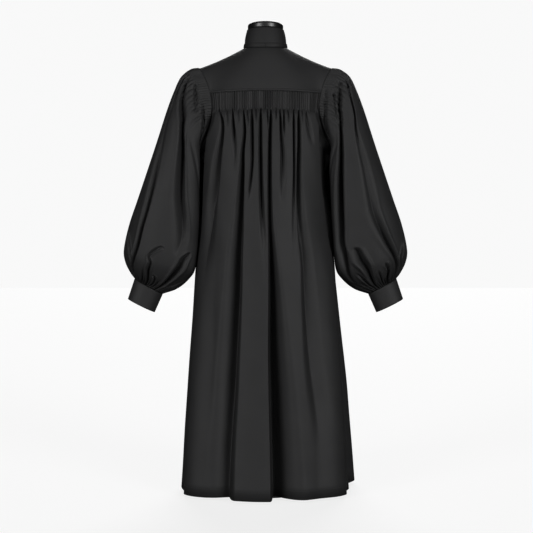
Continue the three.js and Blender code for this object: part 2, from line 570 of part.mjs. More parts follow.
// The outer and inner skins of the left sleeve.
function sleeveSkins(folds) {
  const surface = (angle, along) => sleeveSurface(folds, angle, along);
  const moved = (angle, along, out) => {
    const normal = normalOf(surface, angle, along, 0.2, 0.5).negate();
    if (along > 0) return surface(angle, along).addScaledVector(normal, out);
    const offSeam = surface(angle, 3).sub(armholePoint(angle)).setLength(seam);
    return armholeChord(angle).add(offSeam).addScaledVector(normal, out);
  };
  const rise = (angle) => {
    const turn = clamp((angle / sleeveFluteReach + 1) / 2, 0, 1) * sleeveFlutes * Math.PI;
    return fluteRise * Math.sin(turn) ** 2 - fluteRecess;
  };
  const fluted = [
    ...loopAngles.filter((angle) => angle < -sleeveFluteReach),
    ...evenly(-sleeveFluteReach, sleeveFluteReach, sleeveFlutes * 2),
    ...loopAngles.filter((angle) => angle > sleeveFluteReach),
  ];
  const innerOut = () => -bandThickness - fluteRecess;
  const bandRow = (columns, out) => (along) => rowOf(columns, (angle) => moved(angle, along, out(angle)));
  const openRow = (out) => (along) => rowOf(sleeveColumns, (angle) => moved(angle, along, out));
  return {
    outer: [...[0, sleeveBand].map(bandRow(fluted, rise)), ...sleeveRows.map(openRow(0))],
    inner: [
      bandRow(fluted, innerOut)(0),
      bandRow(loopAngles, innerOut)(sleeveBand),
      ...sleeveRows.map(openRow(-cloth)),
    ],
  };
}

// The skins of the left cuff, straight between the sleeve's end and its mouth.
function cuffSkins() {
  const top = sleeveSections.at(-1);
  const columns = evenly(-180, 180, 24);
  const atSeam = 0.006; // the seam's gap, as a share of the cuff's height
  const moved = (angle, share, out) => {
    const column = (name) => lerp(top[name], cuffMouth[name], share);
    const outer = at(column("outerX"), 0, column("outerZ"));
    const inner = at(column("innerX"), 0, column("innerZ"));
    const toOuter = outer.clone().sub(inner).multiplyScalar(0.5);
    toOuter.setLength(toOuter.length() + out);
    const point = outer.add(inner).multiplyScalar(0.5).addScaledVector(toOuter, Math.cos(degToRad(angle)));
    return point.add(at(0, (column("halfDepth") + out) * Math.sin(degToRad(angle)), 0));
  };
  const skin = (out) => [atSeam, 0.5, 1].map((share) => rowOf(columns, (angle) => moved(angle, share, out)));
  return { outer: skin(cuffWall.proud), inner: skin(cuffWall.proud - cuffWall.thickness) };
}

for (const [side, folds, placed] of [
  ["left", leftSleeveFolds, (rows) => rows],
  ["right", rightSleeveFolds, mirrorRows],
]) {
  const sleeve = sleeveSkins(folds);
  add(`sleeve_${side}`, wall(placed(sleeve.outer), placed(sleeve.inner), true), blackCloth);
  const cuffs = cuffSkins();
  add(`cuff_${side}`, wall(placed(cuffs.outer), placed(cuffs.inner), true), blackCloth);
}

// ---------------------------------------------------------------- neck band and fly
// The band stands on the neckline. Each half runs from the middle of the front to the back.
function neckBandHalf(columns) {
  const moved = (angle, share, out) => {
    const normal = at(Math.cos(degToRad(angle)), Math.sin(degToRad(angle)), 0);
    const foot = necklinePoint(angle).add(at(0, 0, seam + share * neckBand.height));
    return foot.addScaledVector(normal, out - share * neckBand.lean);
  };
  const skin = (out) => [0, 0.5, 1].map((share) => rowOf(columns, (angle) => moved(angle, share, out)));
  return wall(skin(0), skin(-cloth), false);
}
const bandEnd = 90 - radToDeg(seam / 2 / neckline.back);
const bandQuarter = [...quarter.slice(0, -1), bandEnd];
const bandAngles = [...bandQuarter.map((angle) => -angle).reverse(), ...bandQuarter.slice(1)];
add("neck_band_left", neckBandHalf(bandAngles), blackCloth);
add("neck_band_right", neckBandHalf(bandAngles.map((angle) => 180 - angle).reverse()), blackCloth);

// The angle near the middle of the front at which a surface has this X at v.
function angleForX(surface, x, v) {
  let [low, high] = [240, 300];
  for (let k = 0; k < 40; k += 1) {
    const middle = (low + high) / 2;
    if (surface(middle, v).x < x) low = middle;
    else high = middle;
  }
  return low;
}

// The fly lies on the front yokes and panels, and is made from their points, moved out.
function frontFly() {
  const across = evenly(-fly.width / 2, fly.width / 2, 4);
  const yokeRows = [0.03, 0.25, 0.5, 0.75, 0.97].map((share) => [yokeSurface, yokeNormal, share]);
  const heights = [frontYokeSeam - seam, ...armholeHeights, ...skirtHeights];
  const rows = [...yokeRows, ...heights.map((height) => [bodySurface, bodyNormal, height])];
  const skin = (out) =>
    rows.map(([surface, normal, v]) =>
      rowOf(across, (x) => {
        const angle = angleForX(surface, x, v);
        return surface(angle, v).addScaledVector(normal(angle, v), out);
      }));
  return wall(skin(seam + cloth), skin(seam), false);
}
add("front_fly", frontFly(), blackCloth);

// ---------------------------------------------------------------- dress form and stand
const ringAngles = [...backAngles, ...frontRightAngles.slice(1), ...frontLeftAngles.slice(1)];

// The torso: its neck, its shoulders under the yoke, and its trunk.
function formTorso() {
  const ring = (pointAt) => rowOf(ringAngles, pointAt);
  const inset = cloth + formClearance;
  const outwards = (angle) => at(Math.cos(degToRad(angle)), Math.sin(degToRad(angle)), 0);
  const underYoke = (angle, share) =>
    yokeSurface(angle, share).addScaledVector(yokeNormal(angle, share), -inset);
  const neckFoot = (angle) => {
    const both = yokeNormal(angle, 0).add(outwards(angle));
    return necklinePoint(angle).addScaledVector(both, (-2 * inset) / both.lengthSq());
  };
  const neckPoint = (angle, share) => {
    const out = outwards(angle);
    const low = necklinePoint(angle).addScaledVector(out, -inset - neckBand.lean);
    low.z += seam + neckBand.height;
    const top = out.clone().multiply(at(neckTop.halfWidth, neckTop.halfDepth, 0));
    top.add(at(0, neckTop.middleY, neckTop.height));
    return low.lerp(top, share).addScaledVector(out, neckTop.bulge * Math.sin(share * Math.PI));
  };
  const trunkPoint = (angle, section) => {
    const edge = yokeEdge(angle);
    const turn = Math.atan2(edge.y / bodySections[0].back, edge.x / armhole.x);
    const halfDepth = turn > 0 ? section.back : section.front;
    return at(section.halfWidth * Math.cos(turn), halfDepth * Math.sin(turn), section.height);
  };
  return loft([
    ...[1, 0.75, 0.5, 0.25, 0].map((share) => ring((angle) => neckPoint(angle, share))),
    ring(neckFoot),
    ...[0.2, 0.45, 0.7, shoulderShare].map((share) => ring((angle) => underYoke(angle, share))),
    ...trunkSections.map((section) => ring((angle) => trunkPoint(angle, section))),
  ]);
}

// A solid turned about the Z axis from points of its half section, given as radius and height.
function turnedSolid(section, middleY) {
  const points = section.map(([radius, height]) => new THREE.Vector2(radius, height));
  return new THREE.LatheGeometry(points, 48).rotateX(Math.PI / 2).translate(0, middleY, 0);
}

const capEdge = evenly(0, Math.PI / 2, 5).map((turn) => [
  cap.radius - cap.edge + cap.edge * Math.cos(turn),
  cap.top - cap.crown - cap.edge + cap.edge * Math.sin(turn),
]);
const flangeTop = trunkSections.at(-1).height - seam;
const flangeBottom = flangeTop - pole.flangeDepth;
const poleFoot = foot.socketFloor + seam;
const socketRadius = pole.radius + seam;

add("form_torso", formTorso(), formCover);
add("neck_cap", turnedSolid([
  [0, cap.bottom], [cap.radius, cap.bottom], ...capEdge, [0, cap.top],
], neckTop.middleY), glossBlack);
add("pole", turnedSolid([
  [0, poleFoot], [pole.radius, poleFoot], [pole.radius, flangeBottom],
  [pole.flangeRadius, flangeBottom], [pole.flangeRadius, flangeTop], [0, flangeTop],
], 0), blackSteel);
add("base", turnedSolid([
  [0, 0], [foot.radius, 0], [foot.radius, foot.rim], [foot.bossRadius, foot.dome],
  [foot.bossRadius, foot.bossTop], [socketRadius, foot.bossTop],
  [socketRadius, foot.socketFloor], [0, foot.socketFloor],
], 0), blackSteel);

export default part;
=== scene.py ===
import math

import bmesh
import bpy
import numpy as np
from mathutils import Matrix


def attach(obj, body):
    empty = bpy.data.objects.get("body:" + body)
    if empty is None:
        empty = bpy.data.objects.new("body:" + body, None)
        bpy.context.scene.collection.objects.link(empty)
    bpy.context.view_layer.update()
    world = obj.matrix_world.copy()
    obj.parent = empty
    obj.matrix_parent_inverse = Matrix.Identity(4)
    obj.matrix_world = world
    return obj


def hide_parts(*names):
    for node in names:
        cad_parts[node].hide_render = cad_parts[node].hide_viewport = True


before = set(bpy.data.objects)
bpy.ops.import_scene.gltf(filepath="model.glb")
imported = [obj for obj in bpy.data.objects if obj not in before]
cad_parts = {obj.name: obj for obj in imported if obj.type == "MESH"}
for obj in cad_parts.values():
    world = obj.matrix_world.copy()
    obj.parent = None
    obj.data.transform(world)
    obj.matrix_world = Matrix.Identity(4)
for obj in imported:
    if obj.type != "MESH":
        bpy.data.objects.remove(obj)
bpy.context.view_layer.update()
mm = 0.001

# The robe's plan, in mm, as the solids have it. +Z up, back towards +Y, wearer's left +X
robe = {
    "hemHeight": 10,
    "backYokeSeam": 1179,
    "frontYokeSeam": 1195,
    "bandDepth": 54,
    "cloth": 1.2,
    "seam": 0.3,
}
bandBottom = robe["backYokeSeam"] - robe["bandDepth"]

bodySections = {  # oval sections, from the hem up
    "height": [10, 300, 650, 850, 1005, 1060, 1108, 1128, 1179, 1195],
    "halfWidth": [252, 234, 210, 198.5, 197.5, 195, 192, 190, 190, 188],
    "back": [228, 199, 168, 151, 138, 130, 120, 108, 104, 102],
    "front": [216, 192, 165, 150, 140, 133, 124, 113, 106, 103],
}
armhole = {
    "middleHeight": 1133,
    "halfHeight": 128,
    "x": 197.5,
    "inset": 40.7,
    "upperBend": 2,
    "lowerBend": 3,
}
armholeBottom = armhole["middleHeight"] - armhole["halfHeight"]
armholeSink = {  # the seam lies sunk between body and sleeve
    "top": 1150,
    "full": 1085,
    "low": 1065,
    "bottom": 1010,
    "depth": 24,
    "reach": 16,
    "sleeveReach": 26,
}
neckline = {
    "halfWidth": 66,
    "middleY": -4,
    "back": 61,
    "front": 70,
    "side": 1320,
    "backDrop": 6,
    "frontDrop": 56,
}
yokeCorner = 40  # degrees from the shoulder to the yoke's lower corner
sleeveSections = {
    "along": [0, 16, 42, 74, 125, 198, 277, 351, 416, 474, 509, 540, 556],
    "outerX": [197.5, 223.5, 254, 272, 294.6, 323.4, 353.2, 383.4, 409, 424.5, 420, 404, 392],
    "outerZ": [1261, 1256.5, 1232.5, 1196.5, 1136.5, 1046.5, 956.5, 866.5, 790, 716.5, 680, 647,
               631],
    "innerX": [197.5, 204, 207, 208, 208, 207, 206, 207.5, 210, 219, 237, 270, 309],
    "innerZ": [1005, 999, 983, 958, 918, 864, 800, 745, 698, 648, 622, 598, 585],
    "halfDepth": [58, 65, 73, 80, 86, 90, 93, 96, 98, 94, 82, 59, 38],
    "leftLean": [0, 6, 15, 22, 24, 24, 25, 25, 26, 26, 12, 0, 0],
    "rightLean": [0, 6, 16, 26, 30, 29, 26, 25, 26, 26, 12, 0, 0],
    "frontLean": [0, 4, 9, 15, 18, 18, 17, 16, 16, 15, 6, 0, 0],
}
leanBend = 1.6  # how narrowly the sleeve leans over the body


# Small helpers on arrays
def smoothStep(value, low, high):
    share = np.clip((np.asarray(value, float) - low) / (high - low), 0, 1)
    return share * share * (3 - 2 * share)


def mix(a, b, share):
    return a + (b - a) * share


# A smooth curve through a table's column.
def smoothRead(keys, values, place):
    keys, values = np.asarray(keys, float), np.asarray(values, float)
    i = np.clip(np.searchsorted(keys, place, side="right") - 1, 0, len(keys) - 2)
    span = keys[i + 1] - keys[i]
    share = np.clip((place - keys[i]) / span, 0, 1)
    before, after = np.maximum(i - 1, 0), np.minimum(i + 2, len(keys) - 1)
    startSlope = (values[i + 1] - values[before]) / (keys[i + 1] - keys[before]) * span
    endSlope = (values[after] - values[i]) / (keys[after] - keys[i]) * span
    rise = values[i + 1] - values[i]
    bent = share**2 * (3 * rise - 2 * startSlope - endSlope)
    return values[i] + share * startSlope + bent + share**3 * (startSlope + endSlope - 2 * rise)


def sectionAt(name, height):
    return smoothRead(bodySections["height"], bodySections[name], height)


def turned(degrees):
    return (np.asarray(degrees, float) + 180) % 360 - 180


def unit(vectors):
    return vectors / np.maximum(np.linalg.norm(vectors, axis=-1, keepdims=True), 1e-9)


def points(x, y, z):
    return np.stack(np.broadcast_arrays(np.asarray(x, float), y, z), axis=-1)


def normalsOf(surface, u, v, stepU, stepV, sign=1):
    alongU = surface(u + stepU, v) - surface(u - stepU, v)
    alongV = surface(u, v + stepV) - surface(u, v - stepV)
    return sign * unit(np.cross(alongU, alongV))


# Folds
# A fold's rows are "height across depth left right": where its bottom lies, how far it goes in,
# and how far each slope reaches. The bend before them tells a sharp crease (1) from a dent (2).
def track(rows, bend):
    return {"rows": np.array(sorted(rows)), "bend": bend}


def readRows(table):
    return [[float(number) for number in row.split()] for row in table.split(",")]


# Each fold of a table starts on a line with a colon, and goes on past a comma at the line's end.
def readFolds(make, table):
    lines = [line.split(":") for line in table.replace(",\n", ",").splitlines() if ":" in line]
    return [make(readRows(rows), *map(float, look.split())) for look, rows in lines]


foldHead = {"top": 1124, "full": 1086, "narrow": 0.5}  # folds start narrow
sideKept = {"from": 18, "to": 66, "top": 900, "bottom": 780}  # no fold dents the side's outline


def foldShare(distance, left, right, bend):
    share = np.clip(np.abs(distance) / np.where(distance < 0, left, right), 0, 1)
    return 1 - np.sin(share * math.pi / 2) ** bend


def foldBottom(fold, height):
    return smoothRead(fold["rows"][:, 0], fold["rows"][:, 1], height)


# How far a fold pushes the cloth in, at a height and a distance from its bottom.
def foldInward(fold, height, distance, wide=1):
    rows = fold["rows"]
    depth, left, right = (np.interp(height, rows[:, 0], rows[:, k]) for k in (2, 3, 4))
    return depth * foldShare(distance, left * wide, right * wide, fold["bend"])


# Folds of the back: across is X, which is positive to the wearer's left, so "left" is towards -X.
backFolds = readFolds(track, """
1.1: 1129 137 0 6 5, 1119 134 14 6 6, 1096 128 24 6 7, 1070 126 26 7 9, 1040 129 25 9 13,
    1005 135 23 12 17, 950 143 22 15 20, 900 149 20 17 22, 857 155 18 19 23, 786 163 12 22 22,
    700 170 4 26 22, 620 175 0 26 22
1.0: 1129 97 0 5 5, 1119 96 18 5 5, 1088 95 26 6 6, 1060 93 18 8 8, 1020 92 8 12 10, 970 91 3 14 12,
    930 90 0 14 12
1.35: 1128 65 0 4 4, 1118 64 16 4 5, 1085 61 26 4 6, 1052 60 26 5 7, 999 65 27 6 9, 947 67 28 8 12,
    857 72 32 12 18, 770 77 38 16 25, 685 84 43 21 31, 572 89 46 25 37, 431 98 48 29 43,
    340 103 48 31 46, 253 109 46 33 49, 153 116 44 35 52, 10 121 40 36 56
1.0: 1128 41 0 5 5, 1118 40 16 5 5, 1085 39 26 6 7, 1025 38 24 6 7, 973 38 20 6 7, 930 41 17 6 7,
    890 46 10 6 7, 858 52 0 5 5
1.0: 1128 15 0 5 5, 1118 14 18 5 6, 1085 14 28 6 7, 999 14 30 7 8, 915 13 28 8 8, 857 12 22 10 9,
    786 8 12 12 11, 714 1 5 16 14, 660 -4 0 16 14
1.4: 1128 -16 0 5 5, 1118 -16 18 5 5, 1085 -15 30 6 6, 1031 -13 32 7 7, 929 -12 32 8 7,
    857 -12 28 9 7, 786 -13 28 11 8, 714 -16 36 18 9, 572 -17 50 38 10, 431 -16 64 59 10,
    291 -20 73 73 12, 153 -25 78 83 14, 10 -30 80 89 17
1.1: 1128 -41 0 4 4, 1118 -42 14 4 4, 1092 -44 20 5 5, 1040 -46 16 8 6, 999 -49 15 11 8,
    958 -50 13 13 10, 915 -50 8 14 12, 849 -48 0 12 12
1.0: 1128 -54 0 4 4, 1118 -54 14 4 4, 1092 -54 16 4 4, 1060 -54 8 5 4, 1040 -54 0 5 5
0.95: 1128 -82 0 4 4, 1118 -82 18 5 4, 1085 -83 24 5 5, 1002 -84 20 4 6, 929 -84 16 4 6,
    857 -83 9 6 8, 786 -82 4 8 10, 714 -80 0 10 12
1.3: 1128 -97 0 5 5, 1118 -97 18 6 5, 1085 -98 28 7 6, 1025 -98 28 9 6, 947 -96 26 12 7,
    857 -97 22 16 9, 770 -103 19 22 12, 685 -115 17 28 16, 572 -120 16 34 20, 431 -128 13 38 24,
    340 -137 10 40 26, 253 -148 6 40 26, 153 -156 0 40 26
1.3: 1126 -119 0 6 6, 1114 -120 9 7 8, 1080 -127 9 9 12, 1050 -133 5 10 14, 1020 -138 0 10 14
# short dents in the heads of the fingers
1.4: 1130 113 0 4 4, 1120 113 6 5 5, 1098 112 5 6 6, 1075 111 0 5 5
1.4: 1130 80 0 4 4, 1120 80 6 5 5, 1100 79 4 6 6, 1080 78 0 5 5
1.4: 1130 53 0 4 4, 1120 53 6 5 5, 1096 52 6 6 6, 1070 51 0 6 6
1.4: 1130 28 0 4 4, 1120 28 7 5 5, 1100 27 5 5 5, 1074 27 0 5 5
1.1: 1130 -4 0 4 4, 1120 -5 9 4 4, 1100 -7 9 3 4, 1070 -8 3 3 4, 1050 -8 0 3 4
1.2: 1130 -31 0 4 4, 1120 -31 9 4 4, 1104 -31 6 4 4, 1084 -31 0 4 4
1.4: 1130 -66 0 4 4, 1120 -66 8 5 5, 1102 -68 6 5 6, 1076 -70 0 5 6
1.4: 1130 -108 0 4 4, 1120 -108 6 5 6, 1104 -109 4 5 6, 1086 -110 0 5 5
# the cloth that rolls under towards the sleeves
1.3: 1134 164 0 8 30, 1118 168 8 12 40, 1088 176 20 9 50, 1050 182 34 9 60, 1005 187 40 8 60,
    930 191 40 8 50, 859 193 38 8 30, 772 197 28 8 16, 715 202 12 8 10, 675 207 0 8 10
1.3: 1134 -158 0 30 8, 1118 -160 8 40 10, 1088 -164 22 60 9, 1050 -166 36 70 9, 1005 -168 42 70 9,
    960 -171 42 60 9, 902 -174 42 50 9, 859 -180 38 34 9, 772 -190 28 18 9, 715 -199 12 10 9,
    675 -206 0 10 8
# the full cloth stands out beside the lower folds
2.0: 760 184 0 44 18, 640 190 -9 50 20, 431 199 -15 54 22, 200 208 -19 56 24, 10 215 -20 58 26
2.0: 760 -182 0 18 48, 640 -190 -10 20 56, 431 -200 -17 22 62, 200 -208 -20 24 66, 10 -214 -20 26 70
""")

# Folds of the sides and the front: across is the angle in degrees, and a ridge's depth is negative.
sideFolds = readFolds(track, """
1.4: 780 180 0 28 30, 600 179 14 32 34, 300 179 30 38 42, 10 179 38 44 50
1.8: 750 199 0 44 50, 600 199 -13 44 56, 300 200 -32 50 74, 10 201 -41 58 90
1.6: 850 345 0 40 40, 600 346 8 46 46, 300 347 13 52 52, 10 348 18 58 58
""")
frontFolds = readFolds(track, """
1.2: 1118 219 0 12 12, 1100 219 8 13 13, 1000 220 10 20 20, 850 224 10 28 28, 600 226 12 36 36,
    300 227 16 44 44, 10 228 20 52 52
1.1: 1122 230 0 8 8, 1108 230 11 9 9, 1000 230 10 12 12, 850 231 2 15 15, 780 231 0 15 15
1.1: 1122 240 0 8 8, 1108 240 12 9 9, 1000 240 14 12 12, 850 241 15 20 18, 600 243 19 32 26,
    300 245 27 42 34, 10 246 34 52 40
1.1: 1122 248 0 8 8, 1108 248 11 8 8, 1000 248 11 11 11, 850 248 4 14 14, 740 248 0 14 14
1.2: 1122 255 0 8 8, 1108 255 10 8 8, 1000 255 9 12 12, 850 256 5 15 15, 600 256 0 15 15
1.2: 1122 285 0 8 8, 1108 285 10 8 8, 1000 285 9 12 12, 850 285 6 15 15, 560 285 0 15 15
1.1: 1122 293 0 8 8, 1108 293 12 9 9, 1000 293 14 12 12, 850 294 15 18 20, 600 295 18 26 32,
    300 297 25 34 42, 10 298 32 40 52
1.1: 1122 300 0 8 8, 1108 300 11 8 8, 1000 300 10 12 12, 850 301 3 14 14, 760 301 0 14 14
1.2: 1120 310 0 9 9, 1104 310 12 10 11, 1000 311 12 16 18, 850 315 11 28 30, 600 318 14 36 40,
    300 319 18 44 46, 10 320 23 52 52
1.3: 1118 322 0 12 12, 1100 322 7 14 14, 1000 325 6 18 18, 850 328 0 20 20
""")
fly = {"width": 34, "flatMargin": 2, "foldMargin": 14, "proud": 0.3, "columns": 15, "yokeRows": 26}


# The body's surface
def loopX(turn):
    bend = np.where(np.cos(turn) > 0, armhole["upperBend"], armhole["lowerBend"])
    return armhole["x"] - armhole["inset"] * np.abs(np.sin(turn)) ** bend


def loopTurnAt(height):
    return np.arccos(np.clip((height - armhole["middleHeight"]) / armhole["halfHeight"], -1, 1))


# The angle at which the armhole cuts the body.
def bodyEdge(height):
    height = np.asarray(height, float)
    inside = np.clip(loopX(loopTurnAt(height)) / sectionAt("halfWidth", height), -1, 1)
    return np.where(height <= armholeBottom, 0, np.degrees(np.arccos(inside)))


def armholeSunk(height):
    fromTop = smoothStep(height, armholeSink["top"], armholeSink["full"])
    fromBottom = smoothStep(height, armholeSink["bottom"], armholeSink["low"])
    return armholeSink["depth"] * fromTop * fromBottom


edgeFading = {"reach": 9, "below": 940}  # folds end at the armhole
ripples = {"depth": 0.5, "long": (47, 9), "cross": (131, 5.3), "top": 1149, "full": 1065}


def degreesFromSide(angle):
    return np.minimum(np.abs(turned(angle)), np.abs(turned(angle - 180)))


# Small unevenness of the whole cloth, as waves of these spans in mm up and degrees round.
def rippleAt(angle, height):
    (longUp, longRound), (crossUp, crossRound) = ripples["long"], ripples["cross"]
    wave = ripples["depth"] * np.sin(height / longUp + angle / longRound)
    wave = wave * np.sin(angle / crossRound + height / crossUp)
    return wave * smoothStep(height, ripples["top"], ripples["full"])


def bodySurface(angle, height, folded=True):
    angle, height = np.broadcast_arrays(np.asarray(angle, float), np.asarray(height, float))
    turn = np.radians(angle)
    isBack = np.sin(turn) > 0
    halfWidth = sectionAt("halfWidth", height)
    halfDepth = np.where(isBack, sectionAt("back", height), sectionAt("front", height))
    across = np.hypot(halfWidth * np.sin(turn), halfDepth * np.cos(turn))
    perDegree = across * math.radians(1)
    normal = unit(points(np.cos(turn) / halfWidth, np.sin(turn) / halfDepth, 0))
    ground = points(halfWidth * np.cos(turn), halfDepth * np.sin(turn), height)
    fromSide = degreesFromSide(angle)
    pastEdge = (fromSide - bodyEdge(height)) * perDegree
    sunk = armholeSunk(height) * smoothStep(pastEdge, armholeSink["reach"], 0)
    ground -= points(0, np.sign(np.sin(turn)) * sunk, 0)
    if not folded:
        return ground
    nearSide = smoothStep(fromSide * perDegree, sideKept["from"], sideKept["to"])
    nearSide = mix(1, nearSide, smoothStep(height, sideKept["top"], sideKept["bottom"]))
    wide = mix(foldHead["narrow"], 1, smoothStep(height, foldHead["top"], foldHead["full"]))
    inward = sum(foldInward(fold, height, ground[..., 0] - foldBottom(fold, height), wide)
                 for fold in backFolds)
    inward = np.where(isBack, inward * nearSide, 0)
    for fold in sideFolds + frontFolds:
        distance = turned(angle - foldBottom(fold, height)) * perDegree
        inward += foldInward(fold, height, distance)
    fromEdge = smoothStep(pastEdge, 0, edgeFading["reach"])
    edgeFade = mix(1, fromEdge, smoothStep(height, edgeFading["below"], armholeBottom))
    fromFly = np.abs(turned(angle - 270)) * perDegree - fly["width"] / 2
    inward = inward * edgeFade * smoothStep(fromFly, fly["flatMargin"], fly["foldMargin"])
    return ground - normal * (inward + rippleAt(angle, height) * edgeFade)[..., None]


def bodyNormal(angle, height):
    return normalsOf(bodySurface, angle, height, 0.12, 0.6)


# The armhole's loop on the wearer's left: 0 at the shoulder, 90 at the back.
def armholePoint(loopAngle):
    turn = np.radians(turned(loopAngle))
    side = np.where(turn > 0, 1, -1)
    height = armhole["middleHeight"] + armhole["halfHeight"] * np.cos(turn)
    yokeSeam = np.where(side > 0, robe["backYokeSeam"], robe["frontYokeSeam"])
    bodyHeight = np.minimum(height, yokeSeam)
    overYoke = np.where(height > yokeSeam, np.sin(np.abs(turn)) / np.sin(loopTurnAt(yokeSeam)), 1)
    edge = bodySurface(side * bodyEdge(bodyHeight), bodyHeight, folded=False)
    return points(loopX(turn), edge[..., 1] * overYoke, height)


# The yoke's surface
yokeBend = {
    "sideAcross": 0.43,
    "middleAcross": 0.83,
    "sideDrop": 0.5,
    "middleDrop": 0.36,
    "spread": 30,
    "crest": 34,
}


def necklinePoint(angle):
    turn = np.radians(angle)
    toBack = np.sin(turn) > 0
    drop = np.where(toBack, neckline["backDrop"], neckline["frontDrop"]) * np.sin(turn) ** 2
    y = neckline["middleY"] + np.where(toBack, neckline["back"], neckline["front"]) * np.sin(turn)
    return points(neckline["halfWidth"] * np.cos(turn), y, neckline["side"] - drop)


def yokeEdge(angle):
    angle = np.asarray(angle, float)
    onLeft = np.cos(np.radians(angle)) >= 0
    fromShoulder = np.where(onLeft, turned(angle), turned(180 - angle))
    side = np.where(fromShoulder > 0, 1, -1)
    yokeSeam = np.where(side > 0, robe["backYokeSeam"], robe["frontYokeSeam"])
    past = (np.abs(fromShoulder) - yokeCorner) / (90 - yokeCorner)
    onArmhole = armholePoint(fromShoulder / yokeCorner * np.degrees(loopTurnAt(yokeSeam)))
    seamAngle = side * mix(bodyEdge(yokeSeam), 90, np.clip(past, 0, 1))
    edge = np.where((past <= 0)[..., None], onArmhole, bodySurface(seamAngle, yokeSeam, False))
    return edge * points(np.where(onLeft, 1, -1), 1, 1)


def plainYoke(angle, share):
    angle, share = np.broadcast_arrays(np.asarray(angle, float), np.asarray(share, float))
    neck, edge = necklinePoint(angle), yokeEdge(angle)
    toMiddle = np.sin(np.radians(angle)) ** 2
    flat = mix(yokeBend["sideAcross"], yokeBend["middleAcross"], toMiddle)
    drop = mix(yokeBend["sideDrop"], yokeBend["middleDrop"], toMiddle)
    bend = neck + (edge - neck) * np.stack([flat, flat, drop], axis=-1)
    s = share[..., None]
    return neck * (1 - s) ** 2 + bend * 2 * s * (1 - s) + edge * s**2


# The yoke, with the crease that its corners would give it spread out over its middle.
def smoothYoke(angle, share):
    angle, share = np.broadcast_arrays(np.asarray(angle, float), np.asarray(share, float))
    spread = yokeBend["spread"] * np.clip(4 * share * (1 - share), 0, 1) ** 0.6
    total = np.zeros((*angle.shape, 3))
    weights = np.exp(-np.linspace(-2, 2, 13) ** 2 / 2)
    for weight, step in zip(weights / weights.sum(), np.linspace(-1, 1, 13)):
        total += weight * plainYoke(angle + step * spread, share)
    return total


def yokeSurface(angle, share):
    lost = plainYoke(0, share)[..., 2] - smoothYoke(0, share)[..., 2]
    nearCrest = np.exp(-((degreesFromSide(angle) / yokeBend["crest"]) ** 2))
    return smoothYoke(angle, share) + points(0, 0, lost * nearCrest)


def yokeNormal(angle, share):
    return normalsOf(yokeSurface, angle, np.clip(share, 0.01, 0.99), 0.1, 0.005, -1)


# The sleeves' surface. A crease's rows are "along angle depth lower upper": the last two are how
# far its slopes reach, to the side of the smaller and of the greater angles. Its bend is before
# them, and how much of a rim it throws up, its lip.
creaseLook = {"perDegree": 1.5, "step": 6, "lipPlace": 1.35, "lipWidth": 0.4, "margin": 2.4}


def crease(rows, bend, lip=0.0):
    rows = np.array(rows)
    steps = np.hypot(np.diff(rows[:, 0]), creaseLook["perDegree"] * np.diff(rows[:, 1]))
    place = np.concatenate([[0], np.cumsum(steps)])
    fine = np.linspace(0, place[-1], 4 + int(place[-1] / creaseLook["step"]))
    line = [smoothRead(place, rows[:, k], fine) for k in (0, 1)]
    slopes = [np.interp(fine, place, rows[:, k]) for k in (2, 3, 4)]
    return {"rows": np.stack(line + slopes, axis=-1), "bend": bend, "lip": lip}


leftCreases = readFolds(crease, """
1.0 0.06: 22 28 0 8 5, 30 38 14 10 5, 43 47.5 22 14 5, 60 64 30 20 5, 73 84 36 24 5, 119 99 38 28 6,
    186 105 34 30 7, 267 109.5 28 30 9, 320 115 22 28 10, 373 118 15 24 11, 413 116 7 18 11,
    445 112 0 12 10
1.0 0.1: 8 112 0 3 4, 13 120 12 3 6, 24 130 16 4 7, 44 138 12 5 8, 70 142 0 6 9
1.0 0.05: 110 32 0 14 14, 191 41 8 24 18, 264 48.5 15 22 15, 332 53.5 24 16 11, 406 55.5 34 11 8,
    447 55.5 36 10 8, 479 52 34 9 7, 509 45 24 8 6, 530 40 8 7 6, 540 38 0 6 6
1.1: 17 48 0 4 4, 19 53 12 4 4, 22 62 16 4 4, 24 72 12 6 6, 27 88 7 7 7, 32 96 0 6 6
1.0: 13 72 0 3 3, 13 81 9 3 3, 14 93 14 4 4, 14 107 16 4 5, 17 118 16 5 6, 26 128 10 6 7,
    40 134 0 6 7
1.1: 24 18 0 5 5, 34 26 9 6 6, 60 34 10 10 10, 110 38 5 14 14, 160 40 0 14 14
1.0 0.25: 556 82 8 4 4, 530 80.5 16 6 6, 508 80.5 18 8 7, 482 83 10 8 5, 469 79 8 6 4, 456 82 8 5 4,
    445 87.5 8 5 4, 433 95 6 4 4, 436 99 0 3 3
1.1 0.15: 556 63 6 4 4, 546 65.5 10 4 4, 521 69 5 4 4, 503 71 0 3 3
1.1 0.3: 552 96 9 3 3, 536 96 11 4 4, 526 95 8 4 4, 521 91 4 3 3, 524 88 0 3 3
1.0 0.15: 556 119 10 4 4, 541 119 22 6 6, 511 120 32 9 9, 484 120 30 10 10, 451 122.5 20 9 9,
    432 128 10 6 7, 424 131 0 4 4
1.2 0.15: 555 128 5 3 3, 540 132 8 4 6, 525 144 7 5 7, 507 153 5 5 7, 495 158 0 5 6
1.1 0.3: 425 25 0 5 5, 438 28 6 7 5, 462 39 7 8 5, 490 43 4 6 5, 505 43 0 5 5
1.4: 60 104 0 14 14, 110 122 5 14 20, 180 140 6 14 26, 277 148 0 16 30
""")
